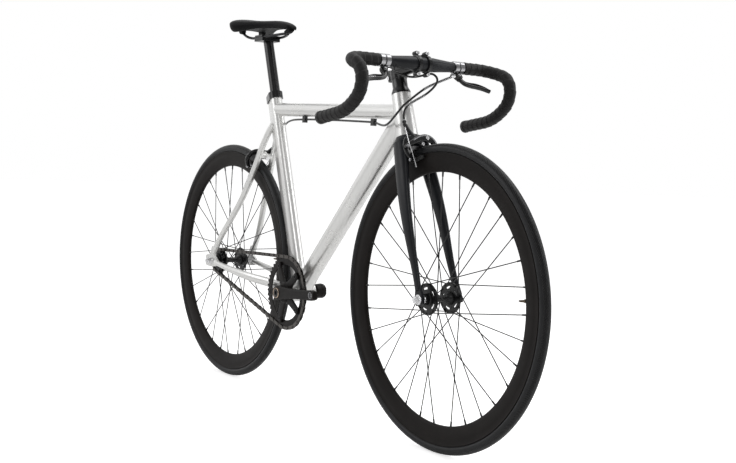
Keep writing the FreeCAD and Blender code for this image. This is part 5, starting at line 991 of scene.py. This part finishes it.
def floor_finish():
    """Pale grey for the light that it sends to the bike, lifted to white where it is seen or mirrored."""
    mat = bpy.data.materials.new("pale_floor")
    mat.use_nodes = True
    tree = mat.node_tree
    pale = feed(tree, tree.nodes["Principled BSDF"], {"Base Color": (0.58, 0.56, 0.53, 1), "Roughness": 0.9})
    lift = add(tree, "MapRange", {"To Min": 0.12, "To Max": 0.6, "Value": seen_rays(tree, CAMERA_RAYS)})
    lit = add(tree, "BsdfPrincipled", {
        "Base Color": (0.9, 0.9, 0.9, 1), "Roughness": 0.9, "Emission Color": (1, 1, 1, 1),
        "Emission Strength": lift.outputs["Result"]})
    mix = add(tree, "MixShader", {"Fac": seen_rays(tree, CAMERA_RAYS + MIRRORED_RAYS),
                                  1: pale.outputs["BSDF"], 2: lit.outputs["BSDF"]})
    feed(tree, tree.nodes["Material Output"], {"Surface": mix.outputs["Shader"]})
    return mat


def stage():
    """A white studio: the world, a pale floor and four soft boxes."""
    scene = bpy.context.scene
    scene.view_settings.view_transform = "Standard"
    world = bpy.data.worlds.new("studio")
    scene.world = world
    world.use_nodes = True
    tree = world.node_tree
    tree.nodes.clear()
    where = add(tree, "TexCoord", {})

    def shade_along(direction, stops):
        """A grey that follows how far the look goes along a direction, from -1 to 1."""
        dot = add(tree, "VectorMath", {0: where.outputs["Generated"], 1: direction}, operation="DOT_PRODUCT")
        fit = add(tree, "MapRange", {"From Min": -1, "Value": dot.outputs["Value"]})
        ramp = add(tree, "ValToRGB", {"Fac": fit.outputs["Result"]})
        for element, (_, shade) in zip(ramp.color_ramp.elements, (stops[0], stops[-1])):
            element.color = (shade, shade, shade, 1)
        for stop, shade in stops[1:-1]:
            ramp.color_ramp.elements.new(stop).color = (shade, shade, shade, 1)
        return ramp.outputs["Color"]

    # A white backdrop behind the bike and a bright ceiling; the room on the viewer's side is dimmer.
    backdrop = shade_along((-0.82, 0.572, 0), ((0, 0.16), (0.4, 0.22), (0.6, 0.5), (0.78, 0.95), (1, 1.0)))
    ceiling = shade_along((0, 0, 1), ((0, 0.0), (0.62, 0.0), (0.9, 0.6), (1, 0.7)))
    lighter = add(tree, "Math", {0: backdrop, 1: ceiling}, operation="MAXIMUM")
    soft = add(tree, "Background", {"Color": lighter.outputs["Value"], "Strength": 0.9})
    beyond = shade_along((-0.99, 0.14, 0), ((0, 0.3), (0.35, 0.36), (0.6, 0.66), (0.8, 1.0), (1, 1.0)))
    mirrored = add(tree, "Background", {"Color": beyond})
    white = add(tree, "Background", {"Color": (1, 1, 1, 1), "Strength": 1.0})
    shader = soft.outputs["Background"]
    for kinds, seen in ((MIRRORED_RAYS, mirrored), (CAMERA_RAYS, white)):
        share = seen_rays(tree, kinds)
        mix = add(tree, "MixShader", {"Fac": share, 1: shader, 2: seen.outputs["Background"]})
        shader = mix.outputs["Shader"]
    add(tree, "OutputWorld", {"Surface": shader})

    mesh = bpy.data.meshes.new("floor")
    reach = 30.0
    mesh.from_pydata([(-reach, -reach, 0), (reach, -reach, 0), (reach, reach, 0), (-reach, reach, 0)], [],
                     [(0, 1, 2, 3)])
    floor = bpy.data.objects.new("floor", mesh)
    scene.collection.objects.link(floor)
    mesh.materials.append(floor_finish())

    def area(name, place, aim, size, power):
        """A soft box of a size in metres that looks at a point."""
        light = bpy.data.lights.new(name, "AREA")
        light.shape = "RECTANGLE"
        light.size, light.size_y = size
        light.energy = power
        obj = bpy.data.objects.new(name, light)
        scene.collection.objects.link(obj)
        obj.location = place
        obj.rotation_euler = (Vector(aim) - Vector(place)).to_track_quat("-Z", "Y").to_euler()

    area("top_light", (0.9, 1.1, 3.2), (0.1, 0, 0.5), (2.2, 1.8), 30)
    area("left_box", (-1.3, -2.8, 2.1), (0, 0, 0.5), (2.2, 1.4), 21)
    area("right_box", (1.5, 2.5, 1.35), (0.3, 0, 0.6), (1.3, 2.0), 24)
    area("front_box", (3.0, -2.2, 2.4), (0.3, 0, 0.5), (1.4, 0.8), 14)


CAMERA_PLACE = Vector((2.257, -1.430, 0.607))
CAMERA_ANGLES = (55.07, -3.28, 1.77)
FOCAL_PIXELS, PHOTO_WIDTH, SENSOR_WIDTH = 1053, 736, 36.0


def camera():
    """The photograph's view, from its place, its yaw, pitch and roll, and its focal length in pixels."""
    yaw, pitch, roll = [math.radians(angle) for angle in CAMERA_ANGLES]
    look = Vector((-math.sin(yaw) * math.cos(pitch), math.cos(yaw) * math.cos(pitch), math.sin(pitch)))
    right = Vector((math.cos(yaw), math.sin(yaw), 0))
    up = right.cross(look)
    side = right * math.cos(roll) + up * math.sin(roll)
    head = up * math.cos(roll) - right * math.sin(roll)
    data = bpy.data.cameras.new("camera")
    data.lens = SENSOR_WIDTH * FOCAL_PIXELS / PHOTO_WIDTH
    obj = bpy.data.objects.new("camera", data)
    bpy.context.scene.collection.objects.link(obj)
    turn = Matrix((side, head, -look)).transposed().to_4x4()
    obj.matrix_world = Matrix.Translation(CAMERA_PLACE) @ turn
    bpy.context.scene.camera = obj


camera()
stage()
dress_frame()
cables()
for prefix, centre in (("front", FRONT), ("rear", REAR)):
    tyre(prefix, centre)
    rim(prefix, centre)
    spokes(prefix, centre)
    valve(prefix, centre)
hub("front", FRONT, 13.0, 44.0)
hub("rear", REAR, 17.4, 48.0)
bar_tape()
saddle()
lever_set()
stem()
chainring()
cranks()
caliper("front", FRONT_BRAKE, HEAD_FORE, ACROSS, HEAD_UP, "steering")
caliper("rear", REAR_BRAKE, REAR_BEHIND, -ACROSS, REAR_REACH, "frame")
